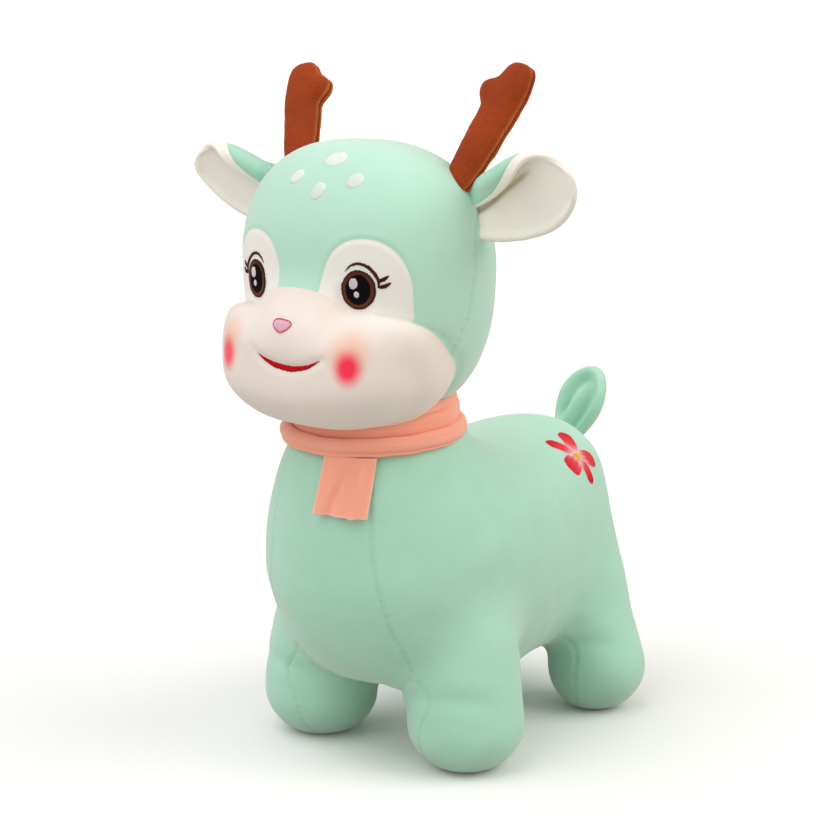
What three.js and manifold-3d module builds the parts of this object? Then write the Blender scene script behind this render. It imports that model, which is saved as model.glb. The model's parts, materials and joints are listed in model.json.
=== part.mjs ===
// A plush fawn that stands on four stuffed legs.
// Millimetres. x runs to the fawn's left, y to its back and z up, and the ground is z = 0.

import * as THREE from 'three';
import { mergeVertices } from 'three/addons/utils/BufferGeometryUtils.js';
import Module from 'manifold-3d';

const wasm = await Module();
wasm.setup();

// Cloth, seams and thread
const CLOTH = 2;
const SEAM_GAP = 0.3;
const THREAD = 0.9;
const SOLE_CUT = 0.5;
const OVERRUN = 400;
const STEP_SHARE = 0.002;

// Body, from the throat over the chest to the rump
const BODY_FRONT_Y = -92;
const BODY_LENGTH = 300;
const BELLY_Z = 38;
const BODY_HEIGHT = 224;
const BODY_WIDTH = 172;
const BODY_ENDS = 4.5;
const BODY_SQUARENESS = 2.1;
// Each row: y and z of the back, y and z of the front, width
const bodyShares = [
  [0.35, 1.0, 0.09, 0.95, 0.51],
  [0.37, 0.95, 0.055, 0.9, 0.56],
  [0.39, 0.875, 0.04, 0.8, 0.605],
  [0.45, 0.77, 0.013, 0.68, 0.74],
  [0.54, 0.72, 0.0, 0.5, 0.9],
  [0.635, 0.71, 0.013, 0.3, 1.0],
  [0.74, 0.715, 0.1, 0.12, 1.0],
  [0.83, 0.72, 0.27, 0.03, 0.955],
  [0.9, 0.69, 0.5, 0.0, 0.89],
  [0.955, 0.62, 0.72, 0.01, 0.81],
  [0.985, 0.48, 0.86, 0.1, 0.71],
];

// Neck: its middle and half width, as shares of the body's length and width
const NECK_Y_SHARE = 0.21;
const NECK_WIDTH_SHARE = 0.28;

// Legs: setback of the foot behind the chest, and lean of the top
const FRONT_LEG = { height: 150, spread: 61, setback: 82, lean: 10, radius: 38.6 };
const HIND_LEG = { height: 140, spread: 61, setback: 236, lean: 10, radius: 33 };
const LEG_ENDS = 3.4;
// Each row, downwards: height, spread, lean, radius
const legShares = [
  [1.0, 0.62, 1.0, 1.05],
  [0.75, 0.76, 0.6, 1.06],
  [0.5, 0.9, 0.2, 1.0],
  [0.3, 0.98, 0.0, 0.98],
  [0.15, 1.0, 0.0, 1.02],
  [0.0, 1.0, 0.0, 0.9],
];

// Head
const NECK_DEPTH = 22;
const HEAD_FORWARD = 4;
const HEAD_HEIGHT = 166;
const HEAD_WIDTH = 166;
const HEAD_DEPTH = 134;
const HEAD_ENDS = 2.6;
const HEAD_SQUARENESS = 2.3;
// Each row, upwards: setback, width, depth
const headShares = [
  [0.08, 0.78, 0.8],
  [0.06, 0.93, 0.93],
  [0.0, 0.98, 0.98],
  [0.0, 1.0, 1.0],
  [0.0, 0.99, 0.91],
  [0.0, 1.0, 0.74],
];

// Muzzle
const MUZZLE_DROP = 13;
const MUZZLE_FORWARD = 27;
const MUZZLE_HEIGHT = 96;
const MUZZLE_WIDTH = 144;
const MUZZLE_DEPTH = 122;
const MUZZLE_ENDS = 2.3;
const MUZZLE_SQUARENESS = 2.7;
// Each row, upwards: setback, width, depth
const muzzleShares = [
  [0.0, 1.0, 0.98],
  [0.0, 1.02, 1.0],
  [0.0, 1.0, 1.0],
  [-0.02, 0.75, 0.86],
];

// Places on the head: across, back and up, as shares of its width, depth and height
const patchShares = [0.247, 0, 0.422];
const eyeShares = [0.243, 0, 0.49];
const antlerBaseShares = [0.401, 0.045, 0.861];
const earRootShares = [0.467, 0.127, 0.759];
// The spots' places are followed by their slope, as a share of a right angle, and their size
const spotShares = {
  crown: [0, -0.224, 0.922, 0.64, 1.7],
  brow: [0, -0.351, 0.825, 0.42, 1],
  left: [0.139, -0.299, 0.861, 0.5, 1],
  right: [-0.139, -0.299, 0.861, 0.5, 1],
};

// Places on the muzzle and on the body, as shares of their own sizes
const noseShares = [0, 0, 0.76];
const mouthShares = [0, 0, 0.448];
const tailBaseShares = [0, 0.945, 0.607];
const flowerShares = [0.331, 0.703, 0.643];

// Eye patches, let into the head
const PATCH_WIDTH = 57;
const PATCH_HEIGHT = 84;

// Eyes, stitched on the patches
const EYE_WIDTH = 23.5;
const EYE_HEIGHT = 25.5;
const IRIS_RING = 3;
const LID_LINE = 2;
const LASH_LINE = 1.6;
// Glints: centre and size as shares of the eye
const glintShares = { large: [-0.13, 0.15, 0.26, 0.28], small: [-0.03, -0.1, 0.15, 0.15] };
// Lid line and lashes: points as shares of the eye, outwards and up
const lidShares = [
  [-0.42, 0.47],
  [-0.25, 0.63],
  [-0.02, 0.69],
  [0.25, 0.63],
  [0.48, 0.44],
  [0.61, 0.25],
  [0.6, 0.06],
];
const lashShares = [
  [[0.6, 0.22], [0.76, 0.27], [0.89, 0.39]],
  [[0.58, 0.08], [0.8, 0.08], [0.95, 0.19]],
];

// Nose and mouth, stitched on the muzzle
const NOSE_WIDTH = 15;
const NOSE_HEIGHT = 10;
const MOUTH_WIDTH = 54;
const MOUTH_RISE = 12;
const MOUTH_LINE = 3;
// Their outlines, across and up
const noseOutlineShares = [
  [-0.5, 0.2],
  [-0.3, 0.5],
  [0.3, 0.5],
  [0.5, 0.2],
  [0.15, -0.4],
  [0.0, -0.5],
  [-0.15, -0.4],
];
const smileShares = [
  [-0.5, 1.0],
  [-0.3, 0.3],
  [0.0, 0.0],
  [0.3, 0.3],
  [0.5, 1.0],
];

// White spots, stitched on the forehead
const SPOT_WIDTH = 7.5;
const SPOT_HEIGHT = 9;
const STITCH_REACH = 25;

// Antlers
const ANTLER_RUN = { x: 22.5, y: 33.5, z: 65 };
const ANTLER_ROOT = 5;
const ANTLER_WIDTH = 23.5;
const ANTLER_THICKNESS = 18;
const ANTLER_ENDS = 4;
const ANTLER_SWING = 12;
const PRONG_LENGTH = 25;
const PRONG_WIDTH = 16;
const PRONG_TURN = 42;
const PRONG_START_SHARE = 0.55;
// Each row, upwards: width, thickness
const antlerShares = [
  [0.88, 0.85],
  [0.92, 0.95],
  [1.0, 1.0],
  [1.04, 1.0],
  [1.0, 0.95],
];

// Ears
const EAR_RUN = { x: 68, y: 5, z: 15 };
const EAR_FACE = { x: 0.4, y: -0.8, z: -0.45 };
const EAR_WIDTH = 74;
const EAR_CURL = 12;
const EAR_LAYER = 2;
const EAR_BASE = 3;
const EAR_LIFT = 8;
const EAR_SWING = 18;
// Width along the ear, from root to tip
const earWidthShares = [0.38, 0.54, 0.76, 0.93, 1.0, 1.0, 0.92, 0.7, 0.24];
const EAR_AXIS_SHARE = 0.45;
const EAR_FLAT_SHARE = 0.6;

// Tail
const TAIL_RUN = { y: 35, z: 51.5 };
const TAIL_ROOT = 5;
const TAIL_WIDTH = 32;
const TAIL_THICKNESS = 15;
const TAIL_ENDS = 3;
const TAIL_SWING = 20;
// Each row, upwards: width, thickness
const tailShares = [
  [0.5, 0.6],
  [0.62, 0.7],
  [0.85, 0.95],
  [1.0, 1.0],
  [0.98, 0.9],
];

// Flower, stitched on the left of the rump
const FLOWER_SLOPE = 33;
const FLOWER_PETALS = 5;
const PETAL_LENGTH = 19;
const PETAL_WIDTH = 12;
const PETAL_TURN = 25;
const FLOWER_EYE = 6;

// Scarf: two wraps round the neck and a hanging end
const SCARF_TILT = 4;
// Each wrap: drop of its middle below the top of the throat, reach beyond the neck, height, cloth
const LOWER_WRAP = { drop: 38.5, reach: 11.8, height: 13, cloth: 13 };
const UPPER_WRAP = { drop: 25, reach: 5.8, height: 13.5, cloth: 10 };
const WRAP_ENDS = 3;
const SCARF_END_WIDTH = 35;
const SCARF_END_LENGTH = 38;
const SCARF_END_CLOTH = 3;
const SCARF_END_TURN = 24;
const SCARF_END_INSET = 2.5;
const SCARF_END_LEAN = 11;
const SCARF_END_SWING = 70;
const SCARF_FOLD = 1.2;
const SCARF_FOLDS = 2;

// Segments round and along each form
const BODY_SEGMENTS = [28, 18];
const BODY_LINING_SEGMENTS = [18, 18];
const LEG_SEGMENTS = [16, 10];
const LEG_LINING_SEGMENTS = [10, 6];
const HEAD_SEGMENTS = [26, 16];
const HEAD_LINING_SEGMENTS = [16, 10];
const MUZZLE_SEGMENTS = [24, 12];
const MUZZLE_LINING_SEGMENTS = [14, 8];
const ANTLER_SEGMENTS = [10, 8];
const PRONG_SEGMENTS = [8, 6];
const TAIL_SEGMENTS = [12, 8];
const EAR_SEGMENTS = [8, 6];
const WRAP_SEGMENTS = [8, 24];
const FIGURE_SEGMENTS = 12;
const LID_STEPS = 8;
const LASH_STEPS = 3;
const STROKE_END_SHARE = 0.25;
const SCARF_END_SEGMENTS = [16, 6];
const SWING_STEPS = 4;

const SIDES = { left: 1, right: -1 };

const paint = (color, roughness) => new THREE.MeshStandardMaterial({ color, roughness, metalness: 0 });
const MINT = paint(0xb2e2cc, 0.85);
const CREAM = paint(0xf3ece3, 0.85);
const SALMON = paint(0xf8a48c, 0.9);
const BROWN = paint(0xa5502c, 0.9);
const WHITE = paint(0xffffff, 0.8);
const IRIS = paint(0x6a3024, 0.6);
const BLACK = paint(0x14100e, 0.55);
const PINK = paint(0xf08aa8, 0.7);
const RED = paint(0xb81826, 0.7);
const PETAL = paint(0xd8405a, 0.7);
const YELLOW = paint(0xf0c040, 0.7);
const STUFFING = paint(0xf5f5f2, 1);

const radians = THREE.MathUtils.degToRad;
const vector = (x, y, z) => new THREE.Vector3(x, y, z);
const placed = ({ x = 0, y, z }, side = 1) => vector(side * x, y, z);
const power = (value, exponent) => Math.sign(value) * Math.abs(value) ** exponent;

const fawn = new THREE.Group();

// Where the forms stand, and the sizes that places on them are shares of
const throatTopZ = BELLY_Z + BODY_HEIGHT;
const neckY = BODY_FRONT_Y + NECK_Y_SHARE * BODY_LENGTH;
const bodyBox = {
  y: BODY_FRONT_Y,
  bottom: BELLY_Z,
  width: BODY_WIDTH,
  depth: BODY_LENGTH,
  height: BODY_HEIGHT,
};
const headBox = {
  y: neckY - HEAD_FORWARD,
  bottom: throatTopZ - NECK_DEPTH,
  width: HEAD_WIDTH,
  depth: HEAD_DEPTH,
  height: HEAD_HEIGHT,
};
const muzzleBox = {
  y: headBox.y - MUZZLE_FORWARD,
  bottom: headBox.bottom - MUZZLE_DROP,
  width: MUZZLE_WIDTH,
  depth: MUZZLE_DEPTH,
  height: MUZZLE_HEIGHT,
};
const placeIn = ({ y, bottom, width, depth, height }, [across, back, up], side = 1) => (
  vector(side * across * width, y + back * depth, bottom + up * height)
);

/** A closed, merged geometry with its faces outwards. */
function closed(geometry) {
  const bare = geometry.clone();
  bare.deleteAttribute('normal');
  bare.deleteAttribute('uv');
  const merged = mergeVertices(bare);
  const { array } = merged.index;
  const corners = [vector(), vector(), vector()];
  let volume = 0;
  for (let i = 0; i < array.length; i += 3) {
    corners.forEach((corner, k) => corner.fromBufferAttribute(merged.attributes.position, array[i + k]));
    volume += corners[0].dot(corners[1].cross(corners[2]));
  }
  if (volume < 0) {
    for (let i = 0; i < array.length; i += 3) {
      [array[i], array[i + 1]] = [array[i + 1], array[i]];
    }
  }
  return merged;
}

/** The same form with its surface moved outwards by a distance, or inwards by a negative one. */
function swollen(geometry, distance) {
  const form = closed(geometry);
  form.computeVertexNormals();
  const { position, normal } = form.attributes;
  const point = vector();
  const outwards = vector();
  for (let i = 0; i < position.count; i += 1) {
    point.fromBufferAttribute(position, i);
    outwards.fromBufferAttribute(normal, i);
    point.addScaledVector(outwards, distance);
    position.setXYZ(i, point.x, point.y, point.z);
  }
  return form;
}

/** The geometry turned about an axis through a pivot. */
function turned(geometry, { pivot, axis }, angle) {
  const turn = new THREE.Matrix4().makeRotationAxis(axis, angle);
  return geometry.clone().translate(-pivot.x, -pivot.y, -pivot.z).applyMatrix4(turn)
    .translate(pivot.x, pivot.y, pivot.z);
}

function solid(geometry) {
  const { index, attributes } = closed(geometry);
  return new wasm.Manifold(
    new wasm.Mesh({
      numProp: 3,
      vertProperties: new Float32Array(attributes.position.array),
      triVerts: new Uint32Array(index.array),
    }),
  );
}

const without = (base, ...cutters) => cutters.reduce((rest, cutter) => rest.subtract(cutter), base);
const joined = (base, ...others) => others.reduce((whole, other) => whole.add(other), base);

/** Everything that a hinged piece passes through between two angles, with the seam gap around it. */
function swept(geometry, hinge, low, high) {
  const room = swollen(geometry, SEAM_GAP);
  const places = [];
  for (let i = 0; i <= SWING_STEPS; i += 1) {
    const angle = radians(THREE.MathUtils.lerp(low, high, i / SWING_STEPS));
    places.push(solid(turned(room, hinge, angle)));
  }
  return joined(...places);
}

function add(name, body, material) {
  const { numProp, vertProperties, triVerts } = body.getMesh();
  const geometry = new THREE.BufferGeometry();
  geometry.setAttribute('position', new THREE.BufferAttribute(new Float32Array(vertProperties), numProp));
  geometry.setIndex(new THREE.BufferAttribute(new Uint32Array(triVerts), 1));
  geometry.computeVertexNormals();
  const mesh = new THREE.Mesh(geometry, material);
  mesh.name = name;
  fawn.add(mesh);
}

/** A stuffed form lofted through rows of a centre and two half-widths, with rounded ends. */
function stuffed(rows, [around, along], ends, squareness = 2) {
  const curve = (points) => new THREE.CatmullRomCurve3(points, false, 'catmullrom');
  const centres = curve(rows.map((row) => row.centre));
  const sides = curve(rows.map((row) => row.side));
  const rises = curve(rows.map((row) => row.rise));
  const form = new THREE.SphereGeometry(1, around, along);
  const { position } = form.attributes;
  const point = vector();
  for (let i = 0; i < position.count; i += 1) {
    point.fromBufferAttribute(position, i);
    const share = THREE.MathUtils.clamp((1 - point.y) / 2, 0, 1);
    const cap = Math.max(0, 1 - Math.abs(point.y) ** ends) ** (1 / ends);
    const radius = Math.hypot(point.x, point.z) || 1;
    const place = centres.getPoint(share);
    place.addScaledVector(sides.getPoint(share), cap * power(point.x / radius, 2 / squareness));
    place.addScaledVector(rises.getPoint(share), cap * power(point.z / radius, 2 / squareness));
    position.setXYZ(i, place.x, place.y, place.z);
  }
  return closed(form);
}

/** A closed sheet between two offsets of a surface given by point(u, v). */
function sheet(pointAt, low, high, [columns, rows]) {
  const points = [];
  const index = [];
  for (const offset of [low, high]) {
    for (let i = 0; i <= columns; i += 1) {
      for (let j = 0; j <= rows; j += 1) {
        const [u, v] = [i / columns, j / rows];
        const along = pointAt(u + STEP_SHARE, v).sub(pointAt(u - STEP_SHARE, v));
        const across = pointAt(u, v + STEP_SHARE).sub(pointAt(u, v - STEP_SHARE));
        const face = along.cross(across).normalize();
        points.push(...pointAt(u, v).addScaledVector(face, offset).toArray());
      }
    }
  }
  const at = (layer, i, j) => (layer * (columns + 1) + i) * (rows + 1) + j;
  const quad = (a, b, c, d) => index.push(a, b, c, a, c, d);
  for (let i = 0; i < columns; i += 1) {
    for (let j = 0; j < rows; j += 1) {
      quad(at(0, i, j), at(0, i, j + 1), at(0, i + 1, j + 1), at(0, i + 1, j));
      quad(at(1, i, j), at(1, i + 1, j), at(1, i + 1, j + 1), at(1, i, j + 1));
    }
    quad(at(0, i, 0), at(0, i + 1, 0), at(1, i + 1, 0), at(1, i, 0));
    quad(at(0, i + 1, rows), at(0, i, rows), at(1, i, rows), at(1, i + 1, rows));
  }
  for (let j = 0; j < rows; j += 1) {
    quad(at(0, 0, j + 1), at(0, 0, j), at(1, 0, j), at(1, 0, j + 1));
    quad(at(0, columns, j), at(0, columns, j + 1), at(1, columns, j + 1), at(1, columns, j));
  }
  const geometry = new THREE.BufferGeometry();
  geometry.setAttribute('position', new THREE.Float32BufferAttribute(points, 3));
  geometry.setIndex(index);
  return closed(geometry);
}

// Forms of the stuffed pieces
function bodyForm(segments) {
  const rows = bodyShares.map(([backY, backZ, frontY, frontZ, width]) => {
    const back = vector(0, BODY_FRONT_Y + backY * BODY_LENGTH, BELLY_Z + backZ * BODY_HEIGHT);
    const front = vector(0, BODY_FRONT_Y + frontY * BODY_LENGTH, BELLY_Z + frontZ * BODY_HEIGHT);
    return {
      centre: back.clone().add(front).multiplyScalar(1 / 2),
      side: vector((width * BODY_WIDTH) / 2, 0, 0),
      rise: back.clone().sub(front).multiplyScalar(1 / 2),
    };
  });
  return stuffed(rows, segments, BODY_ENDS, BODY_SQUARENESS);
}

function legForm(leg, side, segments) {
  const rows = legShares.map(([height, spread, lean, radius]) => ({
    centre: vector(
      side * spread * leg.spread,
      BODY_FRONT_Y + leg.setback + lean * leg.lean,
      height * leg.height - SOLE_CUT,
    ),
    side: vector(radius * leg.radius, 0, 0),
    rise: vector(0, radius * leg.radius, 0),
  }));
  return stuffed(rows, segments, LEG_ENDS);
}

function uprightRows(shares, { y, bottom, width, depth, height }) {
  return shares.map(([setback, wide, deep], i) => ({
    centre: vector(0, y + setback * depth, bottom + (i / (shares.length - 1)) * height),
    side: vector((wide * width) / 2, 0, 0),
    rise: vector(0, (deep * depth) / 2, 0),
  }));
}

const headForm = (segments) => (
  stuffed(uprightRows(headShares, headBox), segments, HEAD_ENDS, HEAD_SQUARENESS)
);
const muzzleForm = (segments) => (
  stuffed(uprightRows(muzzleShares, muzzleBox), segments, MUZZLE_ENDS, MUZZLE_SQUARENESS)
);

/** A stuffed tube between two points, with its wide side along a given direction. */
function tubeForm(start, end, wide, shares, width, thickness, segments, ends) {
  const axis = end.clone().sub(start).normalize();
  const side = wide.clone().addScaledVector(axis, -wide.dot(axis)).normalize();
  const rise = axis.clone().cross(side);
  const rows = shares.map(([wideShare, thickShare], i) => ({
    centre: start.clone().lerp(end, i / (shares.length - 1)),
    side: side.clone().multiplyScalar((wideShare * width) / 2),
    rise: rise.clone().multiplyScalar((thickShare * thickness) / 2),
  }));
  return stuffed(rows, segments, ends);
}

function antlerForms(side) {
  const base = placeIn(headBox, antlerBaseShares, side);
  const run = placed(ANTLER_RUN, side);
  const tip = base.clone().add(run);
  const axis = run.clone().normalize();
  const root = base.clone().addScaledVector(axis, -ANTLER_ROOT);
  const inwards = vector(-side, 0, 0);
  const beam = tubeForm(
    root, tip, inwards, antlerShares, ANTLER_WIDTH, ANTLER_THICKNESS, ANTLER_SEGMENTS, ANTLER_ENDS,
  );
  const fork = base.clone().lerp(tip, PRONG_START_SHARE);
  const across = inwards.clone().addScaledVector(axis, -inwards.dot(axis)).normalize();
  const prongRun = axis.clone().multiplyScalar(Math.cos(radians(PRONG_TURN)))
    .addScaledVector(across, Math.sin(radians(PRONG_TURN)));
  const prong = tubeForm(
    fork, fork.clone().addScaledVector(prongRun, PRONG_LENGTH), inwards, antlerShares,
    PRONG_WIDTH, PRONG_WIDTH, PRONG_SEGMENTS, ANTLER_ENDS,
  );
  return { beam, prong, hinge: { pivot: base, axis: across } };
}

const tailBase = placeIn(bodyBox, tailBaseShares);
function tailForm() {
  const run = placed(TAIL_RUN);
  const root = tailBase.clone().addScaledVector(run.clone().normalize(), -TAIL_ROOT);
  const tip = tailBase.clone().add(run);
  return tubeForm(
    root, tip, vector(1, 0, 0), tailShares, TAIL_WIDTH, TAIL_THICKNESS, TAIL_SEGMENTS, TAIL_ENDS,
  );
}

/** The middle surface of an ear: u from root to tip, v from its lower edge to its curled upper edge. */
function earSurface(side) {
  const run = placed(EAR_RUN, side);
  const along = run.clone().normalize();
  const face = placed(EAR_FACE, side);
  face.addScaledVector(along, -face.dot(along)).normalize();
  const upwards = face.clone().cross(along).multiplyScalar(side);
  const root = placeIn(headBox, earRootShares, side);
  const widths = new THREE.SplineCurve(earWidthShares.map((share, i) => new THREE.Vector2(i, share)));
  const pointAt = (u, v) => {
    const width = EAR_WIDTH * widths.getPoint(THREE.MathUtils.clamp(u, 0, 1)).y;
    const flat = Math.min(v, EAR_FLAT_SHARE) * width;
    const curled = Math.max(0, v - EAR_FLAT_SHARE) * width;
    const height = flat + EAR_CURL * Math.sin(curled / EAR_CURL) - EAR_AXIS_SHARE * width;
    const forwards = EAR_CURL * (1 - Math.cos(curled / EAR_CURL));
    return root.clone()
      .addScaledVector(along, u * (run.length() + EAR_BASE) - EAR_BASE)
      .addScaledVector(upwards, height + EAR_LIFT * u * u)
      .addScaledVector(face, forwards);
  };
  return { pointAt, hinge: { pivot: root, axis: upwards }, side };
}

const earLayer = (ear, low, high) => sheet(ear.pointAt, -ear.side * low, -ear.side * high, EAR_SEGMENTS);

// The stuffed pieces, each an outer form and the form of its lining
const lined = (make, segments, liningSegments) => ({
  outer: make(segments),
  lining: swollen(make(liningSegments), -CLOTH),
});
const body = lined(bodyForm, BODY_SEGMENTS, BODY_LINING_SEGMENTS);
const head = lined(headForm, HEAD_SEGMENTS, HEAD_LINING_SEGMENTS);
const muzzle = lined(muzzleForm, MUZZLE_SEGMENTS, MUZZLE_LINING_SEGMENTS);
const legs = {};
for (const [name, side] of Object.entries(SIDES)) {
  legs[`front_leg_${name}`] = lined(
    (segments) => legForm(FRONT_LEG, side, segments), LEG_SEGMENTS, LEG_LINING_SEGMENTS,
  );
  legs[`hind_leg_${name}`] = lined(
    (segments) => legForm(HIND_LEG, side, segments), LEG_SEGMENTS, LEG_LINING_SEGMENTS,
  );
}

const hollow = (piece) => solid(piece.outer).subtract(solid(piece.lining));
const stuffing = (piece) => solid(swollen(piece.lining, -SEAM_GAP));
const bodyRoom = solid(swollen(body.outer, SEAM_GAP));
const headRoom = solid(swollen(head.outer, SEAM_GAP));
const muzzleRoom = solid(swollen(muzzle.outer, SEAM_GAP));

// Body, legs and their stuffing
const ground = solid(new THREE.BoxGeometry(OVERRUN, OVERRUN, OVERRUN).translate(0, 0, -OVERRUN / 2));
const tail = tailForm();
const tailHinge = { pivot: tailBase, axis: vector(1, 0, 0) };
const tailRoom = swept(tail, tailHinge, -TAIL_SWING, TAIL_SWING);
const legLinings = Object.values(legs).map((leg) => solid(leg.lining));
add('body', without(hollow(body), ...legLinings, tailRoom), MINT);
for (const [name, leg] of Object.entries(legs)) {
  add(name, without(hollow(leg), bodyRoom, ground), MINT);
}
add(
  'body_stuffing',
  without(joined(stuffing(body), ...Object.values(legs).map(stuffing)), tailRoom),
  STUFFING,
);
add('tail', solid(tail), MINT);

// Ears and antlers
const antlerRooms = [];
const earRooms = [];
for (const [name, side] of Object.entries(SIDES)) {
  const { beam, prong, hinge } = antlerForms(side);
  add(`antler_${name}`, joined(solid(beam), solid(prong)), BROWN);
  antlerRooms.push(swept(beam, hinge, -ANTLER_SWING, ANTLER_SWING));
  const ear = earSurface(side);
  add(`ear_back_${name}`, solid(earLayer(ear, 0, EAR_LAYER)), MINT);
  add(`ear_lining_${name}`, solid(earLayer(ear, -SEAM_GAP - EAR_LAYER, -SEAM_GAP)), CREAM);
  const layers = earLayer(ear, -SEAM_GAP - EAR_LAYER, EAR_LAYER);
  earRooms.push(swept(layers, ear.hinge, -EAR_SWING, EAR_SWING));
}
const sockets = [...antlerRooms, ...earRooms];

// Figures let into or stitched on a form
function prism(points) {
  return new THREE.ExtrudeGeometry(new THREE.Shape(points), { depth: OVERRUN, bevelEnabled: false });
}

/** A prism over an outline drawn across x and up z, from the middle of the head to past its front. */
const frontPrism = (points, { x, z }) => (
  solid(prism(points).rotateX(Math.PI / 2).translate(x, headBox.y, z))
);

function oval(width, height, x = 0, z = 0) {
  const points = [];
  for (let i = 0; i < FIGURE_SEGMENTS; i += 1) {
    const angle = (i / FIGURE_SEGMENTS) * 2 * Math.PI;
    points.push(new THREE.Vector2(x + (width / 2) * Math.cos(angle), z + (height / 2) * Math.sin(angle)));
  }
  return points;
}

/** The outline of a line of stitches through points, which narrows towards both ends. */
function stroke(points, width, steps) {
  const curve = new THREE.SplineCurve(points.map(([x, z]) => new THREE.Vector2(x, z)));
  const edges = [[], []];
  for (let i = 0; i <= steps; i += 1) {
    const share = i / steps;
    const half = (width / 2) * Math.max(STROKE_END_SHARE, Math.sin(Math.PI * share) ** (1 / 2));
    const place = curve.getPoint(share);
    const run = curve.getTangent(share);
    edges[0].push(new THREE.Vector2(place.x - half * run.y, place.y + half * run.x));
    edges[1].unshift(new THREE.Vector2(place.x + half * run.y, place.y - half * run.x));
  }
  return [...edges[0], ...edges[1]];
}

function stitchLayer(form) {
  return solid(swollen(form, SEAM_GAP + THREAD)).subtract(solid(swollen(form, SEAM_GAP)));
}
const headStitches = stitchLayer(head.outer).subtract(muzzleRoom);
const muzzleStitches = stitchLayer(muzzle.outer);
const bodyStitches = stitchLayer(body.outer);

// Head, eye patches and eyes
let headCloth = without(hollow(head), bodyRoom, solid(muzzle.lining), ...sockets);
for (const [name, side] of Object.entries(SIDES)) {
  const patchPlace = placeIn(headBox, patchShares, side);
  const patch = (room) => frontPrism(oval(PATCH_WIDTH + 2 * room, PATCH_HEIGHT + 2 * room), patchPlace);
  add(`eye_patch_${name}`, headCloth.intersect(patch(0)), CREAM);
  headCloth = headCloth.subtract(patch(SEAM_GAP));

  const eyePrism = (points) => frontPrism(points, placeIn(headBox, eyeShares, side));
  const ringed = (inset) => eyePrism(oval(EYE_WIDTH - 2 * inset, EYE_HEIGHT - 2 * inset));
  add(`iris_${name}`, headStitches.intersect(ringed(0).subtract(ringed(IRIS_RING))), IRIS);
  let pupil = ringed(IRIS_RING + SEAM_GAP);
  for (const [size, [x, z, wide, high]] of Object.entries(glintShares)) {
    const glint = (room) => eyePrism(oval(
      wide * EYE_WIDTH + 2 * room, high * EYE_HEIGHT + 2 * room, x * EYE_WIDTH, z * EYE_HEIGHT,
    ));
    add(`${size}_glint_${name}`, headStitches.intersect(glint(0)), WHITE);
    pupil = pupil.subtract(glint(SEAM_GAP));
  }
  add(`pupil_${name}`, headStitches.intersect(pupil), BLACK);

  const sized = (points) => points.map(([x, z]) => [side * x * EYE_WIDTH, z * EYE_HEIGHT]);
  const lid = eyePrism(stroke(sized(lidShares), LID_LINE, LID_STEPS));
  const lashes = lashShares.map((points) => eyePrism(stroke(sized(points), LASH_LINE, LASH_STEPS)));
  add(`lashes_${name}`, headStitches.intersect(joined(lid, ...lashes)), BLACK);
}
add('head', headCloth, MINT);
for (const [name, [across, back, up, slope, scale]] of Object.entries(spotShares)) {
  const { x, y, z } = placeIn(headBox, [across, back, up]);
  const spot = prism(oval(scale * SPOT_WIDTH, scale * SPOT_HEIGHT)).translate(0, 0, -STITCH_REACH)
    .rotateX((1 - slope) * (Math.PI / 2)).translate(x, y, z);
  add(`${name}_spot`, headStitches.intersect(solid(spot)), WHITE);
}

// Muzzle, nose and mouth
add('muzzle', without(hollow(muzzle), headRoom, bodyRoom), CREAM);
add(
  'head_stuffing',
  without(joined(stuffing(head), stuffing(muzzle)), bodyRoom, ...sockets),
  STUFFING,
);
const nosePoints = noseOutlineShares.map(([x, z]) => new THREE.Vector2(x * NOSE_WIDTH, z * NOSE_HEIGHT));
add('nose', muzzleStitches.intersect(frontPrism(nosePoints, placeIn(muzzleBox, noseShares))), PINK);
const smilePoints = smileShares.map(([x, z]) => [x * MOUTH_WIDTH, z * MOUTH_RISE]);
const smile = frontPrism(stroke(smilePoints, MOUTH_LINE, LID_STEPS), placeIn(muzzleBox, mouthShares));
add('mouth', muzzleStitches.intersect(smile), RED);

// Flower
function flowerPart(points) {
  const { x, y, z } = placeIn(bodyBox, flowerShares);
  const tool = prism(points).translate(0, 0, -STITCH_REACH)
    .rotateY(radians(FLOWER_SLOPE)).translate(x, y, z);
  return bodyStitches.intersect(solid(tool));
}
for (let i = 0; i < FLOWER_PETALS; i += 1) {
  const turn = (i / FLOWER_PETALS) * 2 * Math.PI + radians(PETAL_TURN);
  const reach = FLOWER_EYE / 2 + SEAM_GAP + PETAL_LENGTH / 2;
  const petal = oval(PETAL_LENGTH, PETAL_WIDTH, reach).map((point) => (
    point.rotateAround(new THREE.Vector2(), turn)
  ));
  add(`petal_${i + 1}`, flowerPart(petal), PETAL);
}
add('flower_eye', flowerPart(oval(FLOWER_EYE, FLOWER_EYE)), YELLOW);

// Scarf
const wrapRadius = ({ reach }) => NECK_WIDTH_SHARE * BODY_WIDTH + reach;
function wrapForm(wrap) {
  const [corners, around] = WRAP_SEGMENTS;
  const profile = [];
  for (let i = 0; i <= corners; i += 1) {
    const angle = (i / corners) * 2 * Math.PI;
    const across = power(Math.cos(angle), 2 / WRAP_ENDS) * (wrap.cloth / 2);
    const up = power(Math.sin(angle), 2 / WRAP_ENDS) * (wrap.height / 2);
    profile.push(new THREE.Vector2(wrapRadius(wrap) - wrap.cloth / 2 + across, up));
  }
  profile[corners].copy(profile[0]);
  return new THREE.LatheGeometry(profile, around).rotateX(Math.PI / 2 + radians(SCARF_TILT))
    .translate(0, neckY, throatTopZ - wrap.drop);
}
const lowerWrap = wrapForm(LOWER_WRAP);
const upperWrap = wrapForm(UPPER_WRAP);
const upperRoom = solid(swollen(upperWrap, SEAM_GAP));

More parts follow.
